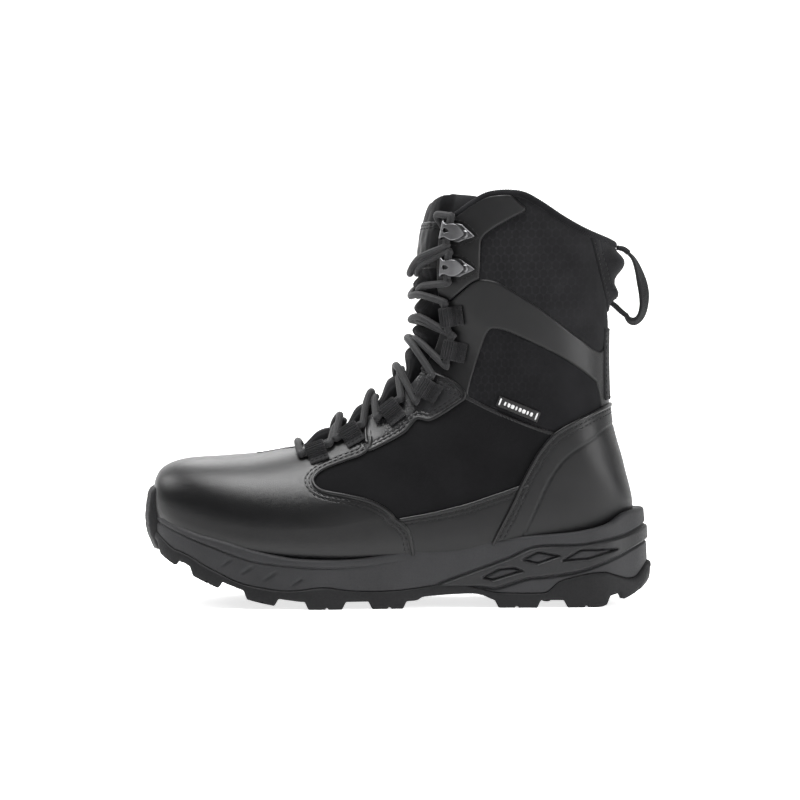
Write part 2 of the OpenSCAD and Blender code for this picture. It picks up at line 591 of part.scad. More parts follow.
// From the last hook each end goes round the panel's edge and down beside the tongue's ridge.
// Station, angle and height of its points on the outer side
TAIL = [[16.64, 40, 3.6], [16.6, 30, 2.8], [16.5, 27, 0.8], [16.3, 29, -3], [16, 32.7, -5.8],
    [15.5, 34, -5.8], [15.05, 35, -5.8]];
function tail(side) = [for (p = TAIL) outside(p[0], side * p[1] + 2.7, p[2])];
lace_keys = concat(reverse(tail(-1)), reverse(strand(1)), [outside(5.72, 12, 2.9), outside(5.72, -12, 2.9)],
    strand(-1), tail(1));
module lace() color([0.12, 0.12, 0.12]) scale(k) tube(curve(lace_keys, 2), lace_d, 8, [-1, 0, 0.35]);

// ---------------------------------------------------------------- pull loop

PULL_OUTER = [[141.5, 215.5], [146, 210], [149.5, 201], [152, 191], [152, 181], [150, 174.5], [146, 171],
    [142, 171.5], [139.5, 174.5]];
PULL_INNER = [[140.8, 177], [142.5, 173.8], [145.5, 173.2], [148, 176], [149.8, 182], [149.8, 190.5],
    [147.5, 200], [144.4, 208], [141.5, 212.5]];
module pull_loop() color([0.12, 0.12, 0.12]) scale(k)
    translate([0, pull_w / 2, 0]) rotate([90, 0, 0]) linear_extrude(height = pull_w)
        polygon(concat(curve(PULL_OUTER), curve(PULL_INNER)));
// Stitched ends on the boot, tapered so that the loop can swing from side to side
module pull_loop_anchor(x, z, reach)
    translate([x, 0, z]) linear_extrude(height = 4) polygon([[0, -pull_w / 2], [reach, 0], [0, pull_w / 2]]);
module pull_loop_anchors() color([0.12, 0.12, 0.12]) scale(k) {
    pull_loop_anchor(138.6, 212, 2.5);
    pull_loop_anchor(137, 173.5, 2);
}

outsole();
midsole();
heel_frame();
shank();
insole_board();
footbed();
steel_toe_cap();
toe_cap_gasket();
heel_stiffener();
lining();
vamp();
quarter_lateral();
quarter_medial();
side_strip_lateral();
side_strip_medial();
eyestay_lateral();
eyestay_medial();
heel_counter();
shaft_band_lateral();
shaft_band_medial();
ankle_panel_lateral();
ankle_panel_medial();
collar_panel_lateral();
collar_panel_medial();
hook_panel_lateral();
hook_panel_medial();
achilles_pad();
achilles_bolster();
back_stay();
collar_foam_lateral();
collar_foam_medial();
collar_binding();
tongue_body();
tongue_ridge();
tongue_top();
tongue_patch();
lace();
lace_loops_lateral();
lace_loops_medial();
lace_hooks_lateral();
lace_hooks_medial();
hook_rivets();
pull_loop();
pull_loop_anchors();
side_label();
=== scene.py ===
"""Looks of the lace-up safety boot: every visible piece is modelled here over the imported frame.

Lengths are in millimetres in the frame's axes (toe at -X, outer side at -Y) and become metres when a
mesh is made. The upper's panels are cut out of one smooth surface by outlines drawn in side view.
"""

import math

import bpy
import numpy as np
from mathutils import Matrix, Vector


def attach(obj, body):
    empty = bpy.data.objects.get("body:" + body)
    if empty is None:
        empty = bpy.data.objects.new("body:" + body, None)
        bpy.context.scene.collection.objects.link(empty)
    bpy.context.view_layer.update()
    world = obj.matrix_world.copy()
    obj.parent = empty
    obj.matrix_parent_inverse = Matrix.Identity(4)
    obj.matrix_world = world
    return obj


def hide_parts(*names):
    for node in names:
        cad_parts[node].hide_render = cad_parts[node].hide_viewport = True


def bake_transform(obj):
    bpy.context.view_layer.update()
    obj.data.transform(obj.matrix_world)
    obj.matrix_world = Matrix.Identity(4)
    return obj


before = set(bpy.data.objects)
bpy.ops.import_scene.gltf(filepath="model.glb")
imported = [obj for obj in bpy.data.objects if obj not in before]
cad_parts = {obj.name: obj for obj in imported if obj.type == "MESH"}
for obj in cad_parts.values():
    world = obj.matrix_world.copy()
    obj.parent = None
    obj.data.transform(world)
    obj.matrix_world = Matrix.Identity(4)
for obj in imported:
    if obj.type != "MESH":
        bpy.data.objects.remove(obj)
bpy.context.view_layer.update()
MM = 0.001

# ------------------------------------------------------------------ curves


def spline(keys, t):
    """Catmull-Rom curve through the rows of keys at positions t, from 0 to the last index."""
    keys = np.asarray(keys, float)
    t = np.asarray(t, float)
    n = len(keys) - 1
    i = np.clip(np.floor(t).astype(int), 0, n - 1)
    f = (t - i)[..., None]
    padded = np.vstack([2 * keys[0] - keys[1], keys, 2 * keys[-1] - keys[-2]])
    p0, p1, p2, p3 = padded[i], padded[i + 1], padded[i + 2], padded[i + 3]
    return 0.5 * (
        2 * p1
        + (p2 - p0) * f
        + (2 * p0 - 5 * p1 + 4 * p2 - p3) * f**2
        + (3 * p1 - p0 - 3 * p2 + p3) * f**3
    )


def curve(keys, per=6):
    """A smooth line through keys, with "per" steps between neighbours."""
    return spline(keys, np.linspace(0, len(keys) - 1, (len(keys) - 1) * per + 1))


def ramp(x, a, b):
    """Smooth step from 0 at a to 1 at b."""
    t = np.clip((np.asarray(x, float) - a) / (b - a), 0, 1)
    return t * t * (3 - 2 * t)


def rounded(t):
    """A quarter circle that rises from 0 at t = 0 to 1 at t = 1."""
    return np.sqrt(np.clip(1 - (1 - np.clip(t, 0, 1)) ** 2, 0, 1))


def soft_edge(t, width, least=0.05):
    """1 inside a strip, falling on a quarter circle over the last "width" before t = 1."""
    return np.sqrt(np.clip(1 - (np.maximum(t - 1 + width, 0) / width) ** 2, least, 1))


def bell(x, width):
    """A smooth bump, 1 at x = 0."""
    return np.exp(-((x / width) ** 2))


def unit(v):
    return v / np.maximum(np.linalg.norm(v, axis=-1, keepdims=True), 1e-9)


def resample(points, step):
    """Points at an even spacing near "step" along a polyline."""
    points = np.asarray(points, float)
    length = np.concatenate([[0], np.cumsum(np.linalg.norm(np.diff(points, axis=0), axis=1))])
    count = max(2, int(round(length[-1] / step)) + 1)
    at = np.linspace(0, length[-1], count)
    return np.stack([np.interp(at, length, points[:, k]) for k in range(points.shape[1])], 1)


# ------------------------------------------------------------------ surface of the upper

# Sections from the toe tip to above the collar: front x and z, back x and z, half width, centre y,
# where it is widest, roundness of the front and of the back
SECTIONS = [
    [-150, 65, -150, 60, 1, 10, 0.55, 2.2, 2.4],
    [-148.5, 76, -148.5, 51, 18, 9.5, 0.55, 2.2, 2.4],
    [-143, 83, -143, 43, 29.5, 9, 0.58, 2.2, 2.8],
    [-130, 87.5, -130, 36, 39.5, 7.5, 0.62, 2.2, 3.4],
    [-108, 89.3, -108, 30, 48, 4.5, 0.66, 2.1, 4],
    [-80, 92, -79, 26, 52, 1, 0.68, 1.9, 4.4],
    [-53, 99, -42, 24, 51.5, -1.5, 0.68, 1.65, 4.4],
    [-28, 113, -2, 24, 46.5, -2.5, 0.66, 1.6, 4.2],
    [-8, 129, 38, 25, 42.5, -3, 0.64, 1.65, 4],
    [4, 143, 76, 26.5, 39.5, -2, 0.6, 1.75, 3.6],
    [10, 157, 109, 29, 38.5, -1, 0.57, 1.9, 3],
    [13, 168, 131, 35, 38, 0, 0.55, 2, 2.6],
    [14, 179, 143.5, 56, 38, 0, 0.54, 2, 2.3],
    [13.5, 190, 138.5, 84, 38.5, 0, 0.53, 2, 2.2],
    [13, 202, 131.5, 111, 39.5, 0, 0.53, 2.1, 2.1],
    [13, 215, 129.3, 143, 41, 0, 0.53, 2.1, 2.1],
    [15, 229, 130, 182, 43, 0, 0.53, 2.1, 2.1],
    [19, 245, 134, 220, 44.5, 0, 0.53, 2.1, 2.1],
    [22, 262, 137, 246, 46, 0, 0.53, 2.1, 2.1],
]
LAST = len(SECTIONS) - 1


def signed_power(v, p):
    return np.sign(v) * np.abs(v) ** p


def upper(u, a):
    """Points at station u, a degrees round from the front ridge towards the outer side."""
    u, a = np.broadcast_arrays(np.asarray(u, float), np.asarray(a, float))
    s = spline(SECTIONS, np.clip(u, 0, LAST))
    c, w = np.cos(np.radians(a)), np.sin(np.radians(a))
    front = c >= 0
    p = 2 / np.where(front, s[..., 7], s[..., 8])
    reach = np.where(front, s[..., 6], 1 - s[..., 6])
    t = s[..., 6] - reach * signed_power(c, p)
    y = s[..., 5] - s[..., 4] * signed_power(w, p)
    x = s[..., 0] + (s[..., 2] - s[..., 0]) * t
    z = s[..., 1] + (s[..., 3] - s[..., 1]) * t
    return np.stack([x, y, z], -1)


def normal(u, a):
    along = upper(np.asarray(u) + 0.03, a) - upper(np.asarray(u) - 0.03, a)
    around = upper(u, np.asarray(a) + 1.5) - upper(u, np.asarray(a) - 1.5)
    return unit(np.cross(around, along))


def outside(u, a, out):
    return upper(u, a) + normal(u, a) * np.asarray(out, float)[..., None]


def find(x, z, side=1, start=None):
    """Station and angle of the surface point seen at (x, z) in side view; side 1 is the outer one."""
    x, z = np.atleast_1d(np.asarray(x, float)), np.atleast_1d(np.asarray(z, float))
    if start is None:
        gu, ga = np.meshgrid(np.linspace(0.3, LAST - 0.1, 120), np.linspace(1, 179, 90), indexing="ij")
        grid = upper(gu, ga)
        u, a = np.empty(len(x)), np.empty(len(x))
        for i in range(len(x)):
            k = np.argmin((grid[..., 0] - x[i]) ** 2 + (grid[..., 2] - z[i]) ** 2)
            u[i], a[i] = gu.flat[k], ga.flat[k]
    else:
        u, a = (np.array(v, float) for v in start)
    for _ in range(12):
        p = upper(u, a)
        du = (upper(u + 0.01, a) - p) / 0.01
        da = (upper(u, a + 0.5) - p) / 0.5
        ex, ez = x - p[:, 0], z - p[:, 2]
        det = du[:, 0] * da[:, 2] - du[:, 2] * da[:, 0]
        det = np.where(np.abs(det) < 1e-3, 1e-3, det)
        u = np.clip(u + np.clip((ex * da[:, 2] - ez * da[:, 0]) / det, -0.3, 0.3), 0.05, LAST)
        a = np.clip(a + np.clip((ez * du[:, 0] - ex * du[:, 2]) / det, -8, 8), 0.5, 179.5)
    return u, side * a


# ------------------------------------------------------------------ outlines in side view

# Seams and edges as (x, z) points, from the frame's side view; BIG closes an outline far outside
BIG = 400.0
COLLAR_LINE = [[-40, 208], [10, 224], [31, 232], [45, 241], [56, 246], [72, 246], [83, 241], [98, 231.5],
    [114, 223.5], [133, 217], [160, 208]]
VAMP_EDGE = [[-19, 122], [-16, 112], [-15, 103], [-17, 95.5], [-22, 91], [-33.5, 87], [-45.5, 82],
    [-50, 76.5], [-45.5, 71], [-30.5, 68], [-17.5, 65], [-8, 60.5], [-2, 55.5], [4, 50], [8, 43], [12, 20]]
COUNTER_EDGE = [[146, 126], [130.5, 122], [114, 115], [96, 105.5], [86, 95], [79, 83.5], [74, 74],
    [68, 61], [58.5, 42], [50, 20]]
CREASE = [[150, 112], [131, 109], [114, 98.5], [104, 92], [97, 85], [90, 74], [84, 61], [77, 46], [70, 30]]
STRIP_EDGE = [[-3, 54.5], [4, 55.5], [33, 60], [55, 66.5], [74, 73]]
EYESTAY_EDGE = [[-16, 94], [-4, 100], [4.5, 105], [8.5, 109.5], [12, 113], [19, 112], [26.5, 115.5],
    [35.5, 121.5], [41, 126], [38.5, 131.5], [31, 137], [20, 141.5], [0, 152]]
SEAM_EDGE = [[42, 127], [59, 118.5], [84, 108.5], [98, 104]]
ANKLE_EDGE = [[42, 127], [44.5, 138], [50.5, 157], [54, 165], [58.5, 167], [69, 164], [99, 150],
    [118, 137.5], [122, 133], [125, 118]]
BAND_EDGE = [[-10, 160], [10, 170], [31, 184], [46.5, 196], [58.5, 195.5], [65, 192], [81, 182],
    [93, 173.5], [108.5, 162.5], [118.5, 155.5], [123, 153.5], [126, 155], [145, 168]]
HOOK_EDGE = [[46.5, 190], [49, 200], [49.5, 214], [50.5, 221], [56.5, 226.5], [67, 232.5], [76.5, 238],
    [72, 243], [58, 256]]
PAD_EDGE = [[112, 240], [116.5, 223], [118.5, 216], [123.5, 199], [128, 185], [131.5, 176], [150, 172]]
MIDSOLE_TOP = [[-170, 62], [-149, 56.5], [-141, 51], [-125, 45], [-106, 40.5], [-88, 35.5], [-72, 32],
    [-56, 30], [-26, 30], [0, 34], [33, 38.5], [60, 40.5], [80, 43], [110, 45.5], [132, 50.5],
    [145, 57], [170, 60]]
# Half width of the throat's opening and height
THROAT_HALF = [[0, 93.5], [7, 95], [11, 98], [12.5, 104], [13, 113], [15, 130], [17.5, 150], [19.5, 170],
    [22, 200], [25, 262]]
THROAT_Y = -1.5


def left_of(line):
    """The area on the toe side of a line; the next three are its other sides."""
    c = curve(line)
    return np.vstack([[-BIG, c[0, 1]], c, [-BIG, c[-1, 1]]])


def right_of(line):
    c = curve(line)
    return np.vstack([[BIG, c[0, 1]], c, [BIG, c[-1, 1]]])


def above(line):
    c = curve(line)
    return np.vstack([[c[0, 0], BIG], c, [c[-1, 0], BIG]])


def below(line):
    c = curve(line)
    return np.vstack([[c[0, 0], -BIG], c, [c[-1, 0], -BIG]])


def signed_distance(polygon, p):
    """Distance inside (+) or outside (-) a closed polygon, and the direction it grows in."""
    a, b = polygon, np.roll(polygon, -1, axis=0)
    best = np.full(len(p), 1e9)
    toward = np.zeros((len(p), 2))
    inside = np.zeros(len(p), bool)
    for p0, p1 in zip(a, b):
        d = p1 - p0
        t = np.clip(((p - p0) @ d) / max(d @ d, 1e-9), 0, 1)
        off = p - (p0 + t[:, None] * d)
        dist = np.einsum("ij,ij->i", off, off)
        near = dist < best
        best[near], toward[near] = dist[near], off[near]
        cross = (p0[1] > p[:, 1]) != (p1[1] > p[:, 1])
        at = p0[0] + (p[:, 1] - p0[1]) * d[0] / (d[1] if abs(d[1]) > 1e-12 else 1e-12)
        inside ^= cross & (p[:, 0] < at)
    best = np.sqrt(best)
    sign = np.where(inside, 1.0, -1.0)
    return best * sign, toward / np.maximum(best, 1e-9)[:, None] * sign[:, None]


# ------------------------------------------------------------------ cutting triangle grids


def cut_at(tri, rows, values, level, snap=0.08):
    """Splits every triangle that crosses values == level; rows holds one line of numbers a vertex."""
    f = values - level
    f = np.where(np.abs(f) < snap, 0, f)
    s = np.sign(f)
    cross = (s[tri].min(1) < 0) & (s[tri].max(1) > 0)
    keep, cut = tri[~cross], tri[cross]
    if not len(cut):
        return tri, rows, values
    edges = np.concatenate([cut[:, [0, 1]], cut[:, [1, 2]], cut[:, [2, 0]]])
    hit = s[edges[:, 0]] * s[edges[:, 1]] < 0
    uniq, inverse = np.unique(np.sort(edges[hit], 1), axis=0, return_inverse=True)
    inverse = inverse.reshape(-1)
    t = (f[uniq[:, 0]] / (f[uniq[:, 0]] - f[uniq[:, 1]]))[:, None]
    fresh = rows[uniq[:, 0]] + t * (rows[uniq[:, 1]] - rows[uniq[:, 0]])
    mid = np.full(len(edges), -1)
    mid[hit] = len(rows) + inverse
    mid = mid.reshape(3, -1).T
    values = np.concatenate([values, np.full(len(fresh), level)])
    rows = np.vstack([rows, fresh])
    out = [keep]
    count = (mid >= 0).sum(1)
    for k in range(3):
        # both edges at corner k are cut
        m = (count == 2) & (mid[:, k] >= 0) & (mid[:, (k + 2) % 3] >= 0)
        c, g = cut[m], mid[m]
        v0, v1, v2 = c[:, k], c[:, (k + 1) % 3], c[:, (k + 2) % 3]
        m01, m20 = g[:, k], g[:, (k + 2) % 3]
        out += [np.stack(t3, 1) for t3 in ((v0, m01, m20), (m01, v1, v2), (m01, v2, m20))]
        # one edge is cut and the far corner lies on the line
        m = (count == 1) & (mid[:, k] >= 0)
        c, g = cut[m], mid[m]
        v0, v1, v2 = c[:, k], c[:, (k + 1) % 3], c[:, (k + 2) % 3]
        out += [np.stack(t3, 1) for t3 in ((v0, g[:, k], v2), (g[:, k], v1, v2))]
    return np.concatenate(out), rows, values


def grid_triangles(n, m):
    """Triangles of an n by m grid of vertices."""
    i, j = np.meshgrid(np.arange(n - 1), np.arange(m - 1), indexing="ij")
    a = i * m + j
    b, c, d = a + 1, a + m + 1, a + m
    return np.concatenate([np.stack([a, b, d], -1), np.stack([b, c, d], -1)]).reshape(-1, 3)


def grid(first, second):
    """Triangles and rows of a grid over two lists of values."""
    rows = np.stack(np.meshgrid(first, second, indexing="ij"), -1).reshape(-1, 2)
    return grid_triangles(len(first), len(second)), rows


def iso_lines(tri, rows, values, level):
    """Polylines of interpolated rows along values == level."""
    f = values - level
    f = np.where(np.abs(f) < 1e-6, 1e-6, f)
    s = f > 0
    mixed = tri[s[tri].any(1) & ~s[tri].all(1)]
    links, place = {}, {}
    for t in mixed:
        ends = []
        for k in range(3):
            i, j = int(t[k]), int(t[(k + 1) % 3])
            if s[i] != s[j]:
                key = (min(i, j), max(i, j))
                if key not in place:
                    w = f[key[0]] / (f[key[0]] - f[key[1]])
                    place[key] = rows[key[0]] + w * (rows[key[1]] - rows[key[0]])
                ends.append(key)
        if len(ends) == 2:
            links.setdefault(ends[0], []).append(ends[1])
            links.setdefault(ends[1], []).append(ends[0])
    lines, used = [], set()
    for start in sorted(links, key=lambda q: len(links[q])):
        if start in used:
            continue
        chain, here = [start], start
        used.add(start)
        while True:
            step = [q for q in links[here] if q not in used]
            if not step:
                break
            here = step[0]
            used.add(here)
            chain.append(here)
        if len(chain) > 1 and chain[0] in links[chain[-1]] and len(chain) > 2:
            chain.append(chain[0])
        if len(chain) > 2:
            lines.append(np.array([place[q] for q in chain]))
    return lines


# ------------------------------------------------------------------ making Blender objects


def new_object(name, verts, faces, material, body="boot", slot=None, replaces=()):
    """A mesh object from millimetre vertices that rides on a body."""
    mesh = bpy.data.meshes.new(name)
    mesh.from_pydata((np.asarray(verts, float) * MM).tolist(), [], [list(map(int, f)) for f in faces])
    mesh.validate()
    mesh.update()
    mesh.polygons.foreach_set("use_smooth", [True] * len(mesh.polygons))
    obj = bpy.data.objects.new(name, mesh)
    bpy.context.scene.collection.objects.link(obj)
    mesh.materials.append(material)
    if body:
        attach(obj, body)
    if replaces:
        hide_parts(*replaces)
    return obj


class Pile:
    """Gathers many small meshes into one."""

    def __init__(self):
        self.verts, self.faces, self.count = [], [], 0

    def add(self, verts, faces):
        self.verts.append(np.asarray(verts, float))
        self.faces += [[int(i) + self.count for i in f] for f in faces]
        self.count += len(verts)

    def object(self, name, material, **more):
        return new_object(name, np.vstack(self.verts), self.faces, material, **more)


def sweep(path, ups, section, scale=None):
    """Vertices of a closed section (points across, up) carried along a path with given up directions."""
    path, ups = np.asarray(path, float), np.asarray(ups, float)
    tangents = unit(np.gradient(path, axis=0))
    across = unit(np.cross(tangents, ups))
    ups = np.cross(across, tangents)
    section = np.asarray(section, float)
    if section.ndim == 2:
        section = np.broadcast_to(section, (len(path),) + section.shape)
    if scale is not None:
        section = section * np.asarray(scale, float)[:, None, None]
    return (
        path[:, None] + section[..., :1] * across[:, None] + section[..., 1:2] * ups[:, None]
    ).reshape(-1, 3)


def oval(width, height, sides):
    """Points of an oval section, across and up."""
    t = np.linspace(0, 2 * np.pi, sides, endpoint=False)
    return np.stack([width / 2 * np.cos(t), height / 2 * np.sin(t)], 1)


def strip_faces(n, sides):
    """Open-ended faces of n closed rings; each ring has "sides" vertices."""
    faces = []
    for i in range(n - 1):
        for j in range(sides):
            a, b = i * sides + j, i * sides + (j + 1) % sides
            faces.append([a, b, b + sides, a + sides])
    return faces


def ring_faces(n, sides):
    """Faces of n closed rings with both ends capped."""
    caps = [list(range(sides - 1, -1, -1)), list(range((n - 1) * sides, n * sides))]
    return strip_faces(n, sides) + caps


def strip_verts(line, out, thick, y):
    """A ring at each point of a side-view line, thick either way along out and spread over y."""
    rings = []
    for i, q in enumerate(line):
        front = np.column_stack([q[0] + out[i, 0] * thick[i], y, q[1] + out[i, 1] * thick[i]])
        back = np.column_stack([q[0] - out[i, 0] * thick[i], y, q[1] - out[i, 1] * thick[i]])
        rings.append(np.vstack([front, back[::-1]]))
    return np.vstack(rings)


# ------------------------------------------------------------------ materials


def material(name, color, rough=0.5, metallic=0.0, specular=0.5, sheen=0.0, coat=0.0):
    """A Principled material and its nodes, ready for noise and bump to be added."""
    mat = bpy.data.materials.new(name)
    mat.use_nodes = True
    bsdf = mat.node_tree.nodes["Principled BSDF"]
    bsdf.inputs["Base Color"].default_value = (*color, 1)
    bsdf.inputs["Roughness"].default_value = rough
    bsdf.inputs["Metallic"].default_value = metallic
    bsdf.inputs["Specular IOR Level"].default_value = specular
    bsdf.inputs["Sheen Weight"].default_value = sheen
    bsdf.inputs["Coat Weight"].default_value = coat
    return mat


class Nodes:
    """Short calls for building a node tree."""

    def __init__(self, mat):
        self.tree = mat.node_tree
        self.bsdf = self.tree.nodes["Principled BSDF"]

    def add(self, kind, inputs=(), **props):
        node = self.tree.nodes.new("ShaderNode" + kind)
        for key, value in props.items():
            setattr(node, key, value)
        for key, value in dict(inputs).items():
            if isinstance(value, bpy.types.NodeSocket):
                self.tree.links.new(value, node.inputs[key])
            else:
                node.inputs[key].default_value = value
        return node

    def position(self):
        return self.add("TexCoord").outputs["Object"]

    def math(self, operation, a, b=0.0):
        return self.add("Math", {0: a, 1: b}, operation=operation).outputs[0]

    def noise(self, scale, detail=4.0, rough=0.55, vector=None):
        v = vector or self.position()
        pins = {"Vector": v, "Scale": scale, "Detail": detail, "Roughness": rough}
        return self.add("TexNoise", pins).outputs[0]

    def cells(self, scale, feature="F1"):
        pins = {"Vector": self.position(), "Scale": scale}
        return self.add("TexVoronoi", pins, feature=feature).outputs["Distance"]

    def between(self, value, low, high, to_low, to_high):
        pins = {"Value": value, "From Min": low, "From Max": high, "To Min": to_low, "To Max": to_high}
        return self.add("MapRange", pins).outputs[0]

    def mix(self, factor, dark, light):
        node = self.add("Mix", {"Factor": factor}, data_type="RGBA")
        node.inputs[6].default_value = (*dark, 1)
        node.inputs[7].default_value = (*light, 1)
        return node.outputs[2]

    def bump(self, height, strength, distance, under=None):
        pins = {"Height": height, "Strength": strength, "Distance": distance}
        if under is not None:
            pins["Normal"] = under
        return self.add("Bump", pins).outputs[0]

    def color(self, value, low, high, base, dark, light):
        """Colours the surface from dark times base to light times base as value goes from low to high."""
        share = self.between(value, low, high, 0.0, 1.0)
        mixed = self.mix(share, [c * dark for c in base], [c * light for c in base])
        self.tree.links.new(mixed, self.bsdf.inputs["Base Color"])

    def rough(self, socket):
        self.tree.links.new(socket, self.bsdf.inputs["Roughness"])

    def normal(self, socket):
        self.tree.links.new(socket, self.bsdf.inputs["Normal"])


def leather(name, base, rough, grain=1.0, specular=0.5, coat=0.0):
    """Grained leather: fine pebbles, hair-cell creases, slow colour change and uneven roughness."""
    mat = material(name, base, rough, specular=specular, coat=coat)
    n = Nodes(mat)
    pebble = n.cells(900 / grain, "DISTANCE_TO_EDGE")
    fine = n.cells(2100 / grain, "DISTANCE_TO_EDGE")
    slow = n.noise(22, 3)
    valley = n.between(pebble, 0.0, 0.12, 0.0, 1.0)
    n.color(slow, 0.3, 0.7, base, 0.78, 1.25)
    n.rough(n.between(n.math("ADD", n.noise(240, 3), slow), 0.7, 1.3, rough - 0.03, rough + 0.04))
    height = n.math("ADD", n.math("MULTIPLY", valley, 0.6), n.math("MULTIPLY", fine, 0.8))
    first = n.bump(n.noise(26, 1), 0.16, 0.004)
    n.normal(n.bump(height, 0.2, 0.0003, first))
    return mat


def woven(name, base, pitch=0.7, rough=0.85, sheen=0.3, depth=0.5):
    """A fine plain weave from two crossed thread waves over the side of the boot."""
    mat = material(name, base, rough, specular=0.07, sheen=sheen)
    n = Nodes(mat)
    xyz = n.add("SeparateXYZ", {0: n.position()})
    turn = 2 * math.pi / (pitch * MM)
    across = n.math("ADD", xyz.outputs[0], n.math("MULTIPLY", xyz.outputs[1], 0.85))
    warp = n.math("SINE", n.math("MULTIPLY", across, turn))
    weft = n.math("SINE", n.math("MULTIPLY", xyz.outputs[2], turn))
    weave = n.math("MULTIPLY", warp, weft)
    fuzz = n.noise(1500, 2)
    height = n.math("ADD", n.math("MULTIPLY", weave, 0.5), fuzz)
    tone = n.math("ADD", n.math("MULTIPLY", weave, 0.12), n.noise(60, 4))
    n.color(tone, 0.3, 0.75, base, 0.6, 1.5)
    n.rough(n.between(fuzz, 0.3, 0.7, rough - 0.08, rough + 0.08))
    n.normal(n.bump(height, depth, 0.0003))
    return mat


def hexed(name, base, cell=4.8, fade=(0.055, 0.105)):
    """Matt fabric with faint pressed outlines of hexagons that fade out towards the heel."""
    mat = material(name, base, 0.85, specular=0.06, sheen=0.02)
    n = Nodes(mat)
    xyz = n.add("SeparateXYZ", {0: n.position()})
    dx = n.math("SUBTRACT", xyz.outputs[0], 0.074)
    angle = n.math("ARCTAN2", xyz.outputs[1], dx)
    wrap = n.add("CombineXYZ", {0: n.math("MULTIPLY", angle, 0.052), 1: xyz.outputs[2], 2: 0.0})
    turned = n.add("Mapping", {"Vector": wrap.outputs[0], "Rotation": (0, 0, 0.5)})
    split = n.add("SeparateXYZ", {0: turned.outputs[0]})
    u = n.math("MULTIPLY", split.outputs[0], 2 * math.pi / (cell * MM))
    v = n.math("MULTIPLY", split.outputs[1], 2 * math.pi / (cell * MM))
    s1 = n.math("COSINE", u)
    s2, s3 = (
        n.math("COSINE", n.math("ADD", n.math("MULTIPLY", u, -0.5), n.math("MULTIPLY", v, k)))
        for k in (0.866, -0.866))
    line = n.between(n.math("ADD", n.math("ADD", s1, s2), s3), -1.15, -0.75, 1.0, 0.0)
    shown = n.math("MULTIPLY", line, n.between(xyz.outputs[0], *fade, 1.0, 0.0))
    fuzz = n.noise(1600, 2)
    tone = n.math("ADD", n.math("MULTIPLY", shown, 0.2), n.math("MULTIPLY", n.noise(50, 3), 0.7))
    n.color(tone, 0.15, 0.75, base, 0.75, 1.6)
    n.rough(n.between(shown, 0, 1, 0.88, 0.72))
    height = n.math("ADD", n.math("MULTIPLY", shown, 0.8), n.math("MULTIPLY", fuzz, 0.3))
    n.normal(n.bump(height, 0.45, 0.0004))
    return mat


def nubuck(name, base):
    """Buffed leather: matt, with a fine nap, faint light specks and soft uneven patches."""
    mat = material(name, base, 0.92, specular=0.05, sheen=0.02)
    n = Nodes(mat)
    nap, slow = n.noise(1300, 3, 0.6), n.noise(30, 4)
    speck = n.between(n.cells(1100), 0.0, 0.12, 0.55, 0.0)
    tone = n.math("ADD", n.between(slow, 0.3, 0.7, 0.2, 0.75), speck)
    n.color(tone, 0.0, 1.0, base, 0.75, 1.45)
    n.rough(n.between(nap, 0.3, 0.7, 0.86, 0.97))
    n.normal(n.bump(nap, 0.35, 0.0003, n.bump(slow, 0.1, 0.003)))
    return mat


def rubber(name, base, rough=0.62, speck=900, specular=0.35):
    """Moulded rubber or plastic: fine spark-eroded texture and faint flow marks."""
    mat = material(name, base, rough, specular=specular)
    n = Nodes(mat)
    fine, slow = n.noise(speck, 3, 0.6), n.noise(18, 4)
    n.color(slow, 0.3, 0.7, base, 0.8, 1.25)
    n.rough(n.between(fine, 0.35, 0.65, rough - 0.08, rough + 0.1))
    n.normal(n.bump(fine, 0.25, 0.0003))
    return mat


def metal(name, base, rough=0.35):
    """Satin painted metal with fine brushing and slightly rubbed patches."""
    mat = material(name, base, rough, metallic=0.85)
    n = Nodes(mat)
    xyz = n.add("Mapping", {"Vector": n.position(), "Scale": (1.0, 1.0, 14.0)})
    brush = n.noise(900, 3, 0.6, xyz.outputs[0])
    patch = n.noise(120, 3)
    n.color(patch, 0.35, 0.65, base, 0.85, 1.12)
    n.rough(n.between(brush, 0.3, 0.7, rough - 0.07, rough + 0.1))
    n.normal(n.bump(brush, 0.08, 0.0002))
    return mat


def thread(name, base):
    """Twisted sewing thread or braid: short slanted strands."""
    mat = material(name, base, 0.65, specular=0.2, sheen=0.08)
    n = Nodes(mat)
    strands = n.noise(2200, 2)
    n.color(strands, 0.35, 0.65, base, 0.6, 1.5)
    n.normal(n.bump(strands, 0.4, 0.0002))
    return mat


LEATHER = leather("leather_grain", (0.0052, 0.0052, 0.0056), 0.31, specular=0.3)
GLOSS = leather("leather_smooth", (0.014, 0.014, 0.015), 0.28, grain=0.8, specular=0.5, coat=0.08)
BONDED = leather("overlay_film", (0.0066, 0.0066, 0.0071), 0.38, grain=0.6, specular=0.3)
SEMI = leather("leather_plain", (0.0062, 0.0062, 0.0067), 0.4, grain=0.8, specular=0.27)
NUBUCK = nubuck("leather_nubuck", (0.0064, 0.0064, 0.0069))
ANKLE_FABRIC = hexed("ankle_fabric", (0.0092, 0.0092, 0.0100), fade=(0.045, 0.1))
TONGUE_FABRIC = woven("tongue_fabric", (0.0115, 0.0115, 0.0125), 0.7, sheen=0.08)
HEEL_FABRIC = woven("heel_fabric", (0.011, 0.011, 0.012), 0.6, sheen=0.05, depth=0.3)
LINING_FABRIC = woven("lining_mesh", (0.012, 0.012, 0.013), 1.1, depth=0.7, sheen=0.08)
COLLAR_FABRIC = hexed("collar_fabric", (0.0118, 0.0118, 0.0127), fade=(0.06, 0.13))
WEBBING = woven("webbing_cloth", (0.017, 0.017, 0.018), 0.6, rough=0.75, sheen=0.08)
BINDING = woven("binding_cloth", (0.009, 0.009, 0.010), 0.9, rough=0.8, sheen=0.05)
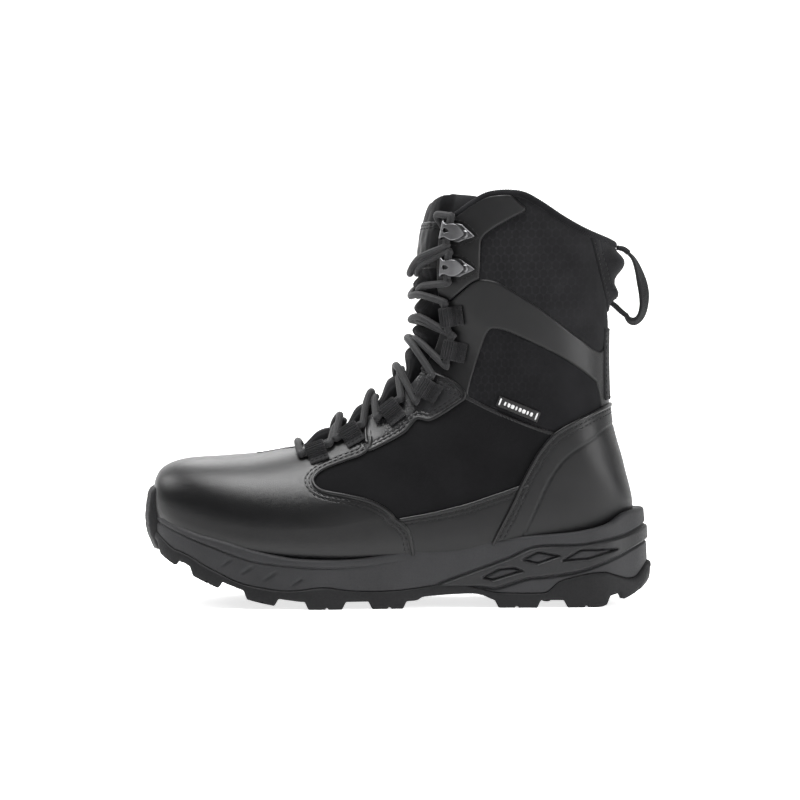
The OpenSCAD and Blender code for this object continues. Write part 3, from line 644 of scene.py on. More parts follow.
OUTSOLE_RUBBER = rubber("outsole_rubber", (0.0095, 0.0095, 0.0102), 0.6, specular=0.18)
MIDSOLE_RUBBER = rubber("midsole_rubber", (0.022, 0.022, 0.0235), 0.6, speck=1300, specular=0.25)
FRAME_PLASTIC = rubber("frame_plastic", (0.012, 0.012, 0.0128), 0.5, specular=0.3)
HOOK_METAL = metal("hook_metal", (0.15, 0.15, 0.155))
STEEL = metal("steel_sheet", (0.5, 0.5, 0.51), 0.4)
THREAD = thread("seam_thread", (0.005, 0.005, 0.0054))
LACE_YARN = thread("lace_yarn", (0.017, 0.017, 0.018))
LABEL_BLACK = rubber("label_black", (0.012, 0.012, 0.012), 0.5)
LABEL_WHITE = rubber("label_white", (0.62, 0.62, 0.62), 0.5)
BOARD = woven("board_fibre", (0.30, 0.24, 0.17), 1.2)
FOAM = woven("foam_grey", (0.05, 0.05, 0.052), 1.4, sheen=0.1)

# ------------------------------------------------------------------ panels of the upper

# Radius of a panel's rounded edge
EDGE_ROUND = 1.1
GRID_U = np.concatenate([np.linspace(0.08, 2, 26)[:-1], np.linspace(2, LAST, 250)])


def base_grid(side=0, low_u=0.0, high_u=LAST):
    """Triangles and (u, a) rows over the surface: both halves, or one (side 1 outer, -1 inner)."""
    us = GRID_U[(GRID_U >= low_u) & (GRID_U <= high_u)]
    angles = np.linspace(-180, 180, 241) if side == 0 else np.linspace(0, 180 * side, 121)
    if side < 0:
        angles = angles[::-1]
    return grid(us, angles)


def throat_half(z):
    """Half the width of the throat's opening at height z."""
    return np.interp(z, [q[1] for q in THROAT_HALF], [q[0] for q in THROAT_HALF])


def throat_field(p):
    """How far a point lies outside the throat's opening, positive on the leather."""
    tip_z = THROAT_HALF[0][1]
    half = np.where(p[:, 2] < tip_z, 0, throat_half(p[:, 2]))
    tip = (tip_z - p[:, 2]) * 0.9
    side = np.abs(p[:, 1] - THROAT_Y) - half
    front = p[:, 0] < 62
    low = p[:, 2] < 104
    return np.where(front, np.where(low, np.maximum(side, tip), side), 60.0)


class Limit:
    """One edge of a panel: inside a side-view outline, or outside it when away is set.

    grow lets the panel run on under its neighbour. seam lists the stitch rows' distances.
    """

    def __init__(self, outline, away=False, grow=0.0, seam=()):
        self.outline, self.away, self.grow, self.seam = outline, away, grow, seam

    def field(self, p, n):
        if isinstance(self.outline, str):
            return throat_field(p) + self.grow
        value, toward = signed_distance(self.outline, p[:, [0, 2]])
        slope = np.einsum("ij,ij->i", toward, n[:, [0, 2]])
        value = value / np.sqrt(np.maximum(1 - slope**2, 0.12))
        return (-value if self.away else value) + self.grow


stitch_pile = Pile()
edge_pile = Pile()
STITCH_LENGTH, STITCH_GAP, STITCH_WIDTH = 2.7, 0.75, 0.66
# Height over the leather and relative width at five points along one stitch
STITCH_LIFT = np.array([-0.28, 0.06, 0.14, 0.06, -0.28])
STITCH_SCALE = np.array([0.35, 0.9, 1.0, 0.9, 0.35])


def one_stitch(pile, points, ups, width=STITCH_WIDTH):
    """One thread over five points, sunk at both ends."""
    verts = sweep(points + ups * STITCH_LIFT[:, None], ups, oval(width, width, 6), STITCH_SCALE)
    pile.add(verts, ring_faces(5, 6))


def add_stitches(line_rows, heights, pile=stitch_pile):
    """Short sunk threads along a line of (u, a) rows."""
    p = outside(line_rows[:, 0], line_rows[:, 1], heights)
    n = normal(line_rows[:, 0], line_rows[:, 1])
    spacing = 0.4
    data = resample(np.hstack([p, n]), spacing)
    total = spacing * (len(data) - 1)
    if total < STITCH_LENGTH + STITCH_GAP:
        return
    for s in np.arange(0, total - STITCH_LENGTH, STITCH_LENGTH + STITCH_GAP):
        last = min(int((s + STITCH_LENGTH) / spacing), len(data) - 1)
        i = np.linspace(int(s / spacing), last, 5).round().astype(int)
        one_stitch(pile, data[i, :3], unit(data[i, 3:]))


def compact(tri, rows):
    """Only the rows that the triangles use."""
    used = np.unique(tri)
    back = np.full(len(rows), -1)
    back[used] = np.arange(len(used))
    return back[tri], rows[used]


def area_normals(obj):
    """Vertex normals weighted by face area, so that slivers beside the cuts don't show."""
    mesh = obj.data
    count = len(mesh.vertices)
    verts = np.empty(count * 3)
    mesh.vertices.foreach_get("co", verts)
    verts = verts.reshape(-1, 3)
    tri = np.empty(len(mesh.polygons) * 3, int)
    mesh.loops.foreach_get("vertex_index", tri)
    tri = tri.reshape(-1, 3)
    face = np.cross(verts[tri[:, 1]] - verts[tri[:, 0]], verts[tri[:, 2]] - verts[tri[:, 0]])
    total = np.zeros((count, 3))
    for k in range(3):
        np.add.at(total, tri[:, k], face)
    mesh.normals_split_custom_set_from_vertices(unit(total * 1e6).tolist())


def trimmed(tri, rows, count, levels=(0.12, 0.4, 1.0)):
    """Cuts a mesh where the least of its last "count" fields is 0, and adds edge loops beside the cut."""
    def least(r):
        return r[:, -count:].min(1)

    tri, rows = compact(tri[least(rows)[tri].max(1) > -6], rows)
    tri, rows, _ = cut_at(tri, rows, least(rows), 0.0, 0.1)
    tri = tri[least(rows)[tri].mean(1) > 0]
    for level in levels:
        tri, rows, _ = cut_at(tri, rows, least(rows), level, 0.06)
    return tri, rows


def panel(name, limits, thick, look, side=0, level=0.0, extra=None, low_u=0.0, high_u=LAST,
          crease=None, trim=False, **more):
    """Cuts one panel out of the surface and gives it thickness, a rounded edge and stitching.

    side 1 is the outer half, -1 the inner, 0 both. level is the height of the panel's face above the
    surface and thick how far it stands over its neighbour. extra(rows, d) adds more height.
    """
    tri, rows = base_grid(side, low_u, high_u)
    p, n = upper(rows[:, 0], rows[:, 1]), normal(rows[:, 0], rows[:, 1])
    fields = [limit.field(p, n) for limit in limits]
    seams = [(k, row) for k, limit in enumerate(limits) for row in limit.seam]
    if crease is not None:
        rows = np.hstack([rows, Limit(crease).field(p, n)[:, None]])
    rows = np.hstack([rows, np.stack(fields, 1)])
    first = rows.shape[1] - len(limits)
    tri, rows = trimmed(tri, rows, len(limits))
    for k, row in seams:
        for shift in (-0.7, 0, 0.7):
            tri, rows, _ = cut_at(tri, rows, rows[:, first + k], row + shift, 0.06)
    if crease is not None:
        for shift in (-1.2, -0.5, 0.5, 1.2):
            tri, rows, _ = cut_at(tri, rows, rows[:, 2], shift, 0.06)

    def height_of(r):
        d = r[:, first:].min(1)
        height = level - (thick + 0.6) * (1 - rounded(d / EDGE_ROUND))
        for k, row in seams:
            height = height - 0.26 * bell(r[:, first + k] - row, 0.6)
        if crease is not None:
            height = height - 0.6 * bell(r[:, 2], 0.8)
        return height if extra is None else height + extra(r, d)

    tri, rows = compact(tri, rows)
    obj = new_object(name, outside(rows[:, 0], rows[:, 1], height_of(rows)), tri, look, **more)
    area_normals(obj)
    for k, row in seams:
        for line in iso_lines(tri, rows, rows[:, first + k], row + 1e-4):
            sew(line, line[:, first:].min(1) > row - 0.4, height_of)
    if trim:
        for line in iso_lines(tri, rows, rows[:, first], 0.7):
            add_edge_roll(line, level + 0.05)


def sew(line, inside, height_of):
    """Stitches on the parts of a seam line that lie inside the panel and above the sole."""
    q = upper(line[:, 0], line[:, 1])
    ok = inside & (q[:, 2] > np.interp(q[:, 0], *np.array(MIDSOLE_TOP).T) - 1)
    cuts = np.where(np.diff(ok.astype(int)) != 0)[0] + 1
    for part in np.split(np.arange(len(line)), cuts):
        if len(part) > 6 and ok[part[0]]:
            add_stitches(line[part], height_of(line[part]) + 0.12)


def add_edge_roll(line, height):
    """A rolled leather edge along a panel's border."""
    if len(line) <= 30:
        return
    points = outside(line[:, 0], line[:, 1], height)
    data = resample(np.hstack([points, normal(line[:, 0], line[:, 1])]), 1.2)
    edge_pile.add(sweep(data[:, :3], unit(data[:, 3:]), oval(2.4, 1.7, 10)), ring_faces(len(data), 10))


vamp_area = left_of([[-19, BIG]] + VAMP_EDGE)
counter_area = right_of(COUNTER_EDGE)
eyestay_area = left_of(EYESTAY_EDGE)
strip_area = below([[-25, 54]] + STRIP_EDGE + [[95, 80]])
ankle_area = np.vstack([curve(ANKLE_EDGE), [[124, 90]], curve(SEAM_EDGE)[::-1]])
quarter_area = np.vstack([[[-60, 10], [-60, 127]], curve(SEAM_EDGE), [[140, 88], [140, 10]]])
band_top_area = above(BAND_EDGE)
collar_area = above(COLLAR_LINE)
pad_area = right_of(PAD_EDGE)
hook_area = left_of([[31, 150]] + HOOK_EDGE)
stay_area = np.array([[126, 124], [126, 168], [150, 168], [150, 124]])
SIDES = (("lateral", 1), ("medial", -1))


def puff(amount, reach):
    """A soft swelling that starts at the panel's edge."""
    return lambda rows, d: amount * ramp(d, 0.2, reach)


def achilles_bulge(rows, d):
    """Two padded rolls over the heel tendon, fading out to the sides."""
    p = upper(rows[:, 0], rows[:, 1])
    away = 180 - np.abs(rows[:, 1])
    side = 1 - ramp(away, 12, 34)
    rolls = 6.8 * bell(p[:, 2] - 208, 8.5) + 5.2 * bell(p[:, 2] - 189, 5.5)
    return side * rolls * ramp(d, 0, 7)


def build_upper():
    top = Limit(collar_area, away=True, grow=0.8)
    floor = Limit(below(MIDSOLE_TOP), away=True, grow=7)
    throat = Limit("throat")
    sewn_throat = Limit("throat", seam=(2.2,))
    panel("vamp_shell", [Limit(vamp_area, seam=(3.0, 5.2)), sewn_throat, floor], 1.3, LEATHER, level=0.4,
          slot="leather", replaces=("vamp",), high_u=9.5, trim=True)
    panel("heel_counter_shell", [Limit(counter_area, seam=(3.0, 5.4)), floor], 1.2, SEMI, level=0.5,
          slot="leather", replaces=("heel_counter",), low_u=5, crease=right_of(CREASE), trim=True)
    panel("achilles_shell", [Limit(pad_area, seam=(1.8, 6.4)), top], 0.8, HEEL_FABRIC, level=-0.2,
          slot="panel_fabric", replaces=("achilles_pad", "achilles_bolster"), low_u=12, extra=achilles_bulge)
    panel("back_stay_strip", [Limit(stay_area, seam=(1.8,))], 0.7, WEBBING, level=0.7, slot="webbing",
          replaces=("back_stay",), low_u=9)
    for tag, side in SIDES:
        panel("quarter_shell_" + tag, [Limit(quarter_area), Limit(vamp_area, True, 5),
              Limit(counter_area, True, 5), Limit(eyestay_area, True, 4), floor], 0.9, NUBUCK, side,
              level=-0.6, slot="leather", replaces=("quarter_" + tag,), low_u=4)
        panel("side_strip_shell_" + tag, [Limit(strip_area, seam=(2.8, 5.0)), Limit(vamp_area, True, 4),
              Limit(counter_area, True, 4), floor], 0.8, SEMI, side, level=0.1, slot="leather",
              replaces=("side_strip_" + tag,), low_u=4, trim=True)
        panel("eyestay_shell_" + tag,
              [Limit(eyestay_area, seam=(3.0, 5.0)), Limit(vamp_area, True, 4), throat], 0.9, GLOSS, side,
              level=0.1, slot="gloss_leather", replaces=("eyestay_" + tag,), low_u=5, trim=True)
        panel("ankle_fabric_" + tag, [Limit(ankle_area, grow=4)], 0.5, ANKLE_FABRIC, side, level=-1.6,
              extra=puff(1.0, 14), slot="panel_fabric", replaces=("ankle_panel_" + tag,), low_u=6)
        panel("shaft_band_shell_" + tag, [Limit(band_top_area, True), Limit(ankle_area, True),
              Limit(quarter_area, True, 3), Limit(counter_area, True, 5), Limit(eyestay_area, True, 4),
              Limit(vamp_area, True, 4), throat], 0.9, BONDED, side, level=-0.4, slot="leather",
              replaces=("shaft_band_" + tag,), low_u=6)
        panel("collar_fabric_" + tag, [Limit(band_top_area, grow=4), Limit(hook_area, True, 4),
              Limit(pad_area, True, 4), top], 0.5, COLLAR_FABRIC, side, level=-1.5, extra=puff(1.1, 12),
              slot="panel_fabric", replaces=("collar_panel_" + tag,), low_u=8)
        panel("hook_panel_shell_" + tag, [Limit(hook_area), Limit(band_top_area), top, throat],
              1.2, BONDED, side, level=0.4, slot="leather", replaces=("hook_panel_" + tag,), low_u=8)


# ------------------------------------------------------------------ collar and lining

COLLAR_TABLE = curve(COLLAR_LINE, 8)


def station_where(shape, low, high, too_high):
    """Halves the range from low to high down to the station where too_high turns true."""
    low, high = np.full(shape, low, float), np.full(shape, high, float)
    for _ in range(22):
        mid = (low + high) / 2
        over = too_high(mid)
        high, low = np.where(over, mid, high), np.where(over, low, mid)
    return (low + high) / 2


def over_line(p, line, drop):
    """Whether points lie above a side-view line lowered by drop."""
    return p[..., 2] > np.interp(p[..., 0], line[:, 0], line[:, 1]) - drop


def rim_station(a, drop=0.0):
    """Station where the surface at angle a reaches the collar's edge, less a drop in height."""
    return station_where(np.shape(a), 13, LAST, lambda u: over_line(upper(u, a), COLLAR_TABLE, drop))


def build_collar():
    """Ribbed edge tape, one padded roll for each side, and the lining."""
    a = np.linspace(43, 317, 1800)
    u = rim_station(a)
    base = outside(u, a, -1.9)
    slope = np.gradient(COLLAR_TABLE[:, 1], COLLAR_TABLE[:, 0])
    lean = np.interp(base[:, 0], COLLAR_TABLE[:, 0], slope)
    lift = unit(np.stack([-lean, np.zeros(len(a)), np.ones(len(a))], 1))
    line = resample(base + 1.6 * lift, 0.4)
    s = 0.4 * np.arange(len(line))
    ups = np.tile([0.0, 0.0, 1.0], (len(line), 1))
    ribs = 1 + 0.05 * np.sin(2 * np.pi * s / 1.5)
    ring = oval(4.3, 4.3, 14)
    new_object("collar_binding_tape", sweep(line, ups, ring, ribs), ring_faces(len(line), 14), BINDING,
               slot="binding_fabric", replaces=("collar_binding",))
    # section of the padded roll: distance outside the surface, height over the collar's edge
    profile = curve([[-1.6, 0.2], [-3.2, 2.0], [-5.6, 2.9], [-8.4, 2.0], [-10.6, -1.5], [-11.4, -8],
        [-11.2, -18], [-10.4, -28], [-9.0, -20], [-5, -5], [-1.6, 0.2]], 4)[:-1]
    for (tag, side), (low, high) in zip(SIDES, ((40, 179.7), (180.3, 320))):
        rings = []
        # each pad thins out over 5 degrees at its front end and is cut square at the heel
        starts, ends = (5, 0.1) if side > 0 else (0.1, 5)
        for angle in np.linspace(low, high, 110):
            end = min(ramp(angle, low, low + starts), 1 - ramp(angle, high - ends, high))
            fold = 0.25 * math.sin(angle * 0.33) + 0.15 * math.sin(angle * 0.9 + 1)
            out = -6 + (profile[:, 0] + 6) * (0.35 + 0.65 * end) - fold * (profile[:, 0] < -8)
            station = rim_station(np.full(len(profile), angle), np.maximum(-profile[:, 1], 0))
            p = outside(station, np.full(len(profile), angle), out)
            p[:, 2] += np.maximum(profile[:, 1], 0) * (0.4 + 0.6 * end)
            rings.append(p)
        pad = new_object("collar_pad_" + tag, np.vstack(rings), ring_faces(len(rings), len(profile)),
                         LINING_FABRIC, slot="padding_foam", replaces=("collar_foam_" + tag,))
    # the inner lining: padded round the shaft, closed to the panels at its edges
    tri, rows = base_grid()
    p, n = upper(rows[:, 0], rows[:, 1]), normal(rows[:, 0], rows[:, 1])
    limits = [Limit(collar_area, True, -4), Limit("throat", grow=-7)]
    rows = np.hstack([rows, np.stack([limit.field(p, n) for limit in limits], 1)])
    tri, rows = compact(*trimmed(tri, rows, 2, (0.5, 1.5, 3.0)))
    depth = 5.8 + 4.6 * ramp(rows[:, 0], 12, 15)
    edge = 1 - rounded(rows[:, -2:].min(1) / 3)
    verts = outside(rows[:, 0], rows[:, 1], -depth + edge * (depth - 3.0))
    new_object("lining_shell", verts, tri[:, ::-1], LINING_FABRIC, slot="lining_fabric", replaces=("lining",))


build_upper()
build_collar()

# ------------------------------------------------------------------ tongue

# Side-view line of the tongue's upper end
TONGUE_TOP = [[-80, 238], [5, 241], [15, 244], [27, 248], [38, 249.5], [60, 246], [90, 240]]
# Station and angle of every lace loop and hook, from the toe up
LOOPS = [[6.11, 28.7], [6.9, 27.4], [7.96, 29.8], [9.29, 37.5], [11.47, 43.2], [12.95, 42.5]]
HOOKS = [[15.1, 49], [16.2, 46.5]]
# How far the laces sag along the ridge where they cross, in stations
RIDGE_SHIFT = [0.3, 0.3, 0.3, -0.1, -0.8, -1.2, -1.7]
SEATS = LOOPS + HOOKS
FIRST_CROSSING = 5.72
CROSSINGS = [FIRST_CROSSING]
CROSSINGS += [(p[0] + q[0]) / 2 + shift for p, q, shift in zip(SEATS[:-1], SEATS[1:], RIDGE_SHIFT)]
# Bottom and top of the leather patch, and how far its two stitch rows lie inside those edges
PATCH = (203.5, 232.5)
PATCH_SEAMS = (2.4, 4.4)


def tongue_height(u, p, half):
    """Height of the tongue's face over the upper's surface: a soft ridge with lumps between the laces."""
    across = np.abs(p[..., 1] - THROAT_Y)
    ridge = 1 - ramp(across, half - 7, half + 0.5)
    lump = np.zeros(u.shape)
    for low, high in zip(CROSSINGS[:-1], CROSSINGS[1:]):
        f = np.clip((u - low) / (high - low), 0, 1)
        size = 5.4 if high - low > 0.7 else 3.8
        lump = lump + size * np.sin(np.pi * f) ** 1.5 * (f > 0) * (f < 1)
    lump = lump * (1 - 0.85 * ramp(p[..., 2], 197, 204))
    wave = 0.25 * np.sin(p[..., 1] * 0.9 + u * 2.1) * np.sin(u * 4.3)
    crown = np.sqrt(np.clip(1 - (across / (half + 2)) ** 2, 0, 1))
    piping = 0.8 * bell(across - (half - 4.5), 0.9) - 0.5 * bell(across - (half - 6.2), 0.8)
    top = 1.9 * ramp(p[..., 2], 196, 204)
    return -6.6 + ridge * (4.9 + top + (lump + wave) * crown + piping)


def tongue_spread(u, side):
    """Degrees to one side that the tongue reaches: just under the panels beside the throat."""
    angles = np.linspace(0, 95, 96)
    q = upper(np.full(96, u), side * angles)
    half = throat_half(q[:, 2]) + 8 + 14 * ramp(q[:, 2], 205, 235)
    beyond = (np.abs(q[:, 1] - THROAT_Y) > half) | (q[:, 0] > 42)
    limit = angles[np.argmax(beyond)] if beyond.any() else 60.0
    return min(limit, 76.0)


def build_tongue():
    """The padded tongue, one piece from the throat's tip up to its top line."""
    cols, steps, thick, start = 81, 240, 4.0, 5.35
    turn = np.linspace(-1, 1, cols)
    top_line = np.array(TONGUE_TOP, float)
    sunk = np.where(np.abs(turn) > 0.55, -6.0, -1.0)
    # the station where each column reaches the tongue's top line
    ends = station_where(cols, 14, LAST - 0.01,
                         lambda u: over_line(outside(u, turn * 76 - 1.5, sunk), top_line, 1.2))
    rings = []
    for t in np.linspace(0, 1, steps):
        u = start + (ends - start) * t
        reach = [tongue_spread(u[cols // 2], side) for side in (-1, 1)]
        a = turn * np.where(turn < 0, *reach)
        p = upper(u, a)
        face = tongue_height(u, p, throat_half(p[:, 2]))
        squeeze = rounded((1 - t) * 110 / 3.2)
        depth = thick * squeeze * soft_edge(np.abs(turn), 0.12, 0.02) / 2
        front = outside(u, a, face - thick / 2 + depth)
        back = outside(u, a, face - thick / 2 - depth - 0.05)
        rings.append(np.vstack([front, back[::-1]]))
    tongue = new_object("tongue", np.vstack(rings), ring_faces(len(rings), 2 * cols), TONGUE_FABRIC,
                        body=None, slot="tongue_fabric",
                        replaces=("tongue_body", "tongue_ridge", "tongue_top"))
    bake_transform(tongue)
    build_tongue_patch()


def build_tongue_patch():
    """Leather patch sewn on the tongue's front."""
    low_z, high_z = PATCH
    zs = np.linspace(low_z, high_z, 60)
    turn = np.linspace(-1, 1, 61)
    a = turn * 33 + 0.5
    rows = []
    for z in zs:
        u = station_where(61, 12, 17.9, lambda s: upper(s, a)[:, 2] > z)
        p = upper(u, a)
        inside = np.minimum(min(z - low_z, high_z - z), (1 - np.abs(turn)) * 18)
        rise = EDGE_ROUND * rounded(inside / EDGE_ROUND)
        for row in PATCH_SEAMS:
            rise = rise - 0.25 * (bell(z - low_z - row, 0.5) + bell(high_z - z - row, 0.5))
        rows.append(np.column_stack([u, a, tongue_height(u, p, throat_half(p[:, 2])) + rise - 0.4]))
    every = np.vstack(rows)
    new_object("tongue_patch_leather", outside(*every.T), grid_triangles(60, 61)[:, ::-1], BONDED,
               body="tongue_upper", slot="leather", replaces=("tongue_patch",))
    pile = Pile()
    for z in [low_z + row for row in PATCH_SEAMS] + [high_z - row for row in PATCH_SEAMS]:
        line = rows[np.argmin(np.abs(zs - z))][3:-3]
        add_stitches(line[:, :2], line[:, 2] + 0.15, pile)
    pile.object("tongue_patch_stitches", THREAD, body="tongue_upper", slot="leather")


# ------------------------------------------------------------------ lace, loops and hooks

LACE_R = 2.2
# Height of the lace's middle over the leather, in a loop and in a hook
SEAT = LACE_R + 0.9
HOOK_SEAT = LACE_R + 1.7
LOOP_W = 12.0
LOOP_STEP = 0.14
# Station, angle and height of the lace's end behind the last hook
TAIL = [[16.64, 40, 3.6], [16.6, 30, 2.8], [16.5, 27, 0.8], [16.3, 29, -3], [16, 32.7, -5.8],
    [15.5, 34, -5.8], [15.05, 35, -5.8]]


def along(u, a):
    return unit(upper(u + 0.04, a) - upper(u - 0.04, a))


def one(function, *numbers):
    """Calls a surface function for a single point."""
    return function(*[np.array([float(v)]) for v in numbers])[0]


class Seat:
    """Axes where a loop or hook sits: away from the ridge, up the throat and outward."""

    def __init__(self, u, a, side):
        self.u, self.a, self.side = u, a, side
        self.up = one(along, u, side * a)
        self.out = one(normal, u, side * a)
        self.away = np.cross(self.up, self.out) * side
        self.origin = one(upper, u, side * a)

    def place(self, points):
        """Local points (away, up, out) as frame points."""
        points = np.asarray(points, float)
        return self.origin + points @ np.stack([self.away, self.up, self.out])

    def faces(self, faces):
        return faces if self.side > 0 else [list(f)[::-1] for f in faces]


def seat_points(n, side):
    """Four points that lead the lace through loop or hook n on one side."""
    p = SEATS[n]
    s = Seat(p[0], p[1], side)
    high, shift = (SEAT, 0.0) if n < len(LOOPS) else (HOOK_SEAT, -1.5)
    middle = one(outside, p[0], side * p[1], high)
    return [middle + up * s.up + shift * s.away for up in (-9.4, -7, 7, 9.4)]


def over_ridge(n, side, part, high):
    """A point between seats n and n + 1: part runs from -1 to 1 across the tongue's ridge."""
    p, q = SEATS[n], SEATS[n + 1]
    spread = (q[0] - p[0]) * 0.2 * part + RIDGE_SHIFT[n] * (1 - abs(part))
    return one(outside, (p[0] + q[0]) / 2 + spread, -side * part * (p[1] + q[1]) / 2, high)


def strand(start):
    """Half of the lace: from the first loop on side start up to a top hook, crossing each time."""
    points = []
    over = 1.1 if start > 0 else 5.5
    for n in range(len(SEATS)):
        side = start * (1 if n % 2 == 0 else -1)
        points += seat_points(n, side)
        if n < len(SEATS) - 1:
            side_high = (over + 3.6) / 2
            for part, high in ((-0.45, side_high), (0, over), (0.45, side_high)):
                points.append(over_ridge(n, side, part, high))
    return points


def tail(side):
    """The lace's end, tucked in behind the last hook."""
    return [one(outside, u, side * a + 2.7, out) for u, a, out in TAIL]


def carried(path, first):
    """Up directions carried along a path with no needless turning."""
    tangents = unit(np.gradient(path, axis=0))
    ups = [unit(first - np.dot(first, tangents[0]) * tangents[0])]
    for t in tangents[1:]:
        v = ups[-1] - np.dot(ups[-1], t) * t
        ups.append(unit(v))
    return np.array(ups)


def build_lace():
    """One round ribbed lace along both strands, with both ends tucked in."""
    keys = tail(-1)[::-1] + strand(1)[::-1] + [one(outside, FIRST_CROSSING, a, 2.9) for a in (12, -12)]
    keys += strand(-1) + tail(1)
    path = resample(curve(np.array(keys), 8), 0.9)
    sides, ribs = 48, 10
    t = np.linspace(0, 2 * np.pi, sides, endpoint=False)
    r = LACE_R * (0.9 + 0.11 * np.abs(np.cos(t * ribs / 2)) ** 0.6)
    section = np.stack([r * np.cos(t), r * np.sin(t)], 1)
    ups = carried(path, np.array([0.0, 0.0, 1.0]))
    cross = unit(np.cross(unit(np.gradient(path, axis=0)), ups))
    spin = 0.25 * np.sin(np.arange(len(path)) * 0.02)[:, None]
    ups = ups * np.cos(spin) + cross * np.sin(spin)
    new_object("lace_cord", sweep(path, ups, section), ring_faces(len(path), sides), LACE_YARN,
               slot="lace_cord", replaces=("lace",))


def loop_profile():
    """Centre line of a lace loop across the throat: under the lace, over it and down to its tab."""
    radius = LACE_R + 1.2
    points = [[5.5, 0.95], [2.5, 0.72], [-1.5, 0.62]]
    for turn in np.radians(np.linspace(260, 10, 15)):
        points.append([radius * math.cos(turn), SEAT + radius * math.sin(turn)])
    points += [[radius + 0.9, SEAT - 1.5], [radius + 1.6, 0.95], [radius + 3.0, 0.62], [radius + 7.2, 0.55]]
    return resample(curve(points, 6), LOOP_STEP)


def build_loops():
    """Ribbed webbing loops that hold the lace, sewn down by their tabs."""
    line = loop_profile()
    tangent = unit(np.gradient(line, axis=0))
    out = np.stack([tangent[:, 1], -tangent[:, 0]], 1)
    if (out[len(out) // 2] * (line[len(line) // 2] - [0, SEAT])).sum() < 0:
        out = -out
    tab = ramp(line[:, 0], LACE_R + 3.0, LACE_R + 4.0) * (np.arange(len(line)) > len(line) // 2)
    ribs = 0.26 * np.sin(2 * np.pi * LOOP_STEP * np.arange(len(line)) / 1.2) * (1 - tab)
    half_t = 0.5 * (1 - 0.35 * tab)
    across = np.linspace(-LOOP_W / 2, LOOP_W / 2, 13)
    for tag, side in SIDES:
        pile = Pile()
        for u, a in LOOPS:
            seat = Seat(u, a, side)
            rings = []
            for y in across:
                soft = soft_edge(abs(y) / (LOOP_W / 2), 0.1)
                face = line + out * ((half_t + ribs) * soft)[:, None]
                back = line - out * (half_t * soft)[:, None]
                ring = np.vstack([face, back[::-1]])
                skew = 0.05 * math.sin(u * 3 + y * 0.4)
                rings.append(np.column_stack([ring[:, 0], np.full(len(ring), y + skew), ring[:, 1]]))
            pile.add(seat.place(np.vstack(rings)), seat.faces(ring_faces(len(across), 2 * len(line))))
            sew_loop(seat)
        pile.object("lace_loop_bands_" + tag, WEBBING, slot="webbing", replaces=("lace_loops_" + tag,))


def sew_loop(seat):
    """Two rows of four stitches across a loop's tab."""
    for x in (LACE_R + 5.6, LACE_R + 8.4):
        for k in range(4):
            y = -LOOP_W / 2 + 0.9 + 2.75 * k + np.linspace(0, 2, 5)
            points = seat.place(np.column_stack([np.full(5, x), y, np.full(5, 1.0)]))
            one_stitch(stitch_pile, points, np.tile(seat.out, (5, 1)), 0.75)


# Sheet of a hook along its length: distance from the base's tip, and half width
SHEET_TOP = 0.7
HOOK_BASE = [[15, 0.3], [12, 1.9], [9, 3.2], [6, 4.9], [4.5, 5.5], [-3, 5.5]]
HOOK_BLADE = [[-6.4, 6.0], [-5.0, 5.6], [-3.4, 4.3], [-1.5, 4.0], [1.0, 4.7], [3.5, 5.0], [5.5, 4.6],
    [7.5, 3.3], [9.2, 1.5], [9.8, 0.3]]


def hook_centre_line():
    """Side line of a hook and its half width: base, turn round the lace, and blade."""
    bend = HOOK_SEAT - SHEET_TOP
    keys = [[x, SHEET_TOP, wide] for x, wide in HOOK_BASE]
    for k in range(1, 11):
        turn = math.pi * k / 10
        x = -3 - bend * math.sin(turn)
        wide = 5.5 + 0.6 * math.sin(turn) if k < 6 else float(np.interp(x, *np.array(HOOK_BLADE).T))
        keys.append([x, HOOK_SEAT - bend * math.cos(turn), wide])
    keys += [[x, HOOK_SEAT + bend - 0.05 * max(x - 2, 0) ** 1.9, wide] for x, wide in HOOK_BLADE if x > -3]
    return resample(curve(np.array(keys), 6), 0.3)


def hook_sheet(line, cols=31):
    """Vertices and faces of a bent sheet with a drop-shaped hole in its blade."""
    tangent = unit(np.gradient(line[:, :2], axis=0))
    out = np.stack([tangent[:, 1], -tangent[:, 0]], 1)[:, None]
    turn = np.linspace(-1, 1, cols)
    x, wide = line[:, :1], line[:, 2:]
    y = turn * wide
    half = 0.5 * soft_edge(1 + (np.abs(turn) - 1) * wide, 0.5, 0.04)[..., None]
    layers = [line[:, None, :2] + out * half, line[:, None, :2] - out * half]
    verts = np.vstack([np.stack([q[..., 0], y, q[..., 1]], -1).reshape(-1, 3) for q in layers])
    n = len(line)
    on_blade = np.arange(n)[:, None] > n - int(n * 0.42)
    hole = on_blade & (((x + 1.2) / 2.2) ** 2 + (y / (1.25 - 0.28 * (x + 1.2))) ** 2 < 1)
    solid = ~(hole[:-1, :-1] | hole[1:, :-1] | hole[1:, 1:] | hole[:-1, 1:])
    index = np.arange(n * cols).reshape(n, cols)
    around = np.zeros((n + 1, cols + 1), bool)
    around[1:-1, 1:-1] = solid
    faces = []
    for i, j in zip(*np.where(solid)):
        quad = [index[i, j], index[i, j + 1], index[i + 1, j + 1], index[i + 1, j]]
        faces += [quad, [v + n * cols for v in quad[::-1]]]
        # a wall wherever the next square is missing: along the outline and round the hole
        for k, (di, dj) in enumerate(((-1, 0), (0, 1), (1, 0), (0, -1))):
            if not around[i + 1 + di, j + 1 + dj]:
                a, b = quad[k], quad[(k + 1) % 4]
                faces.append([b, a, a + n * cols, b + n * cols])
    return verts, faces


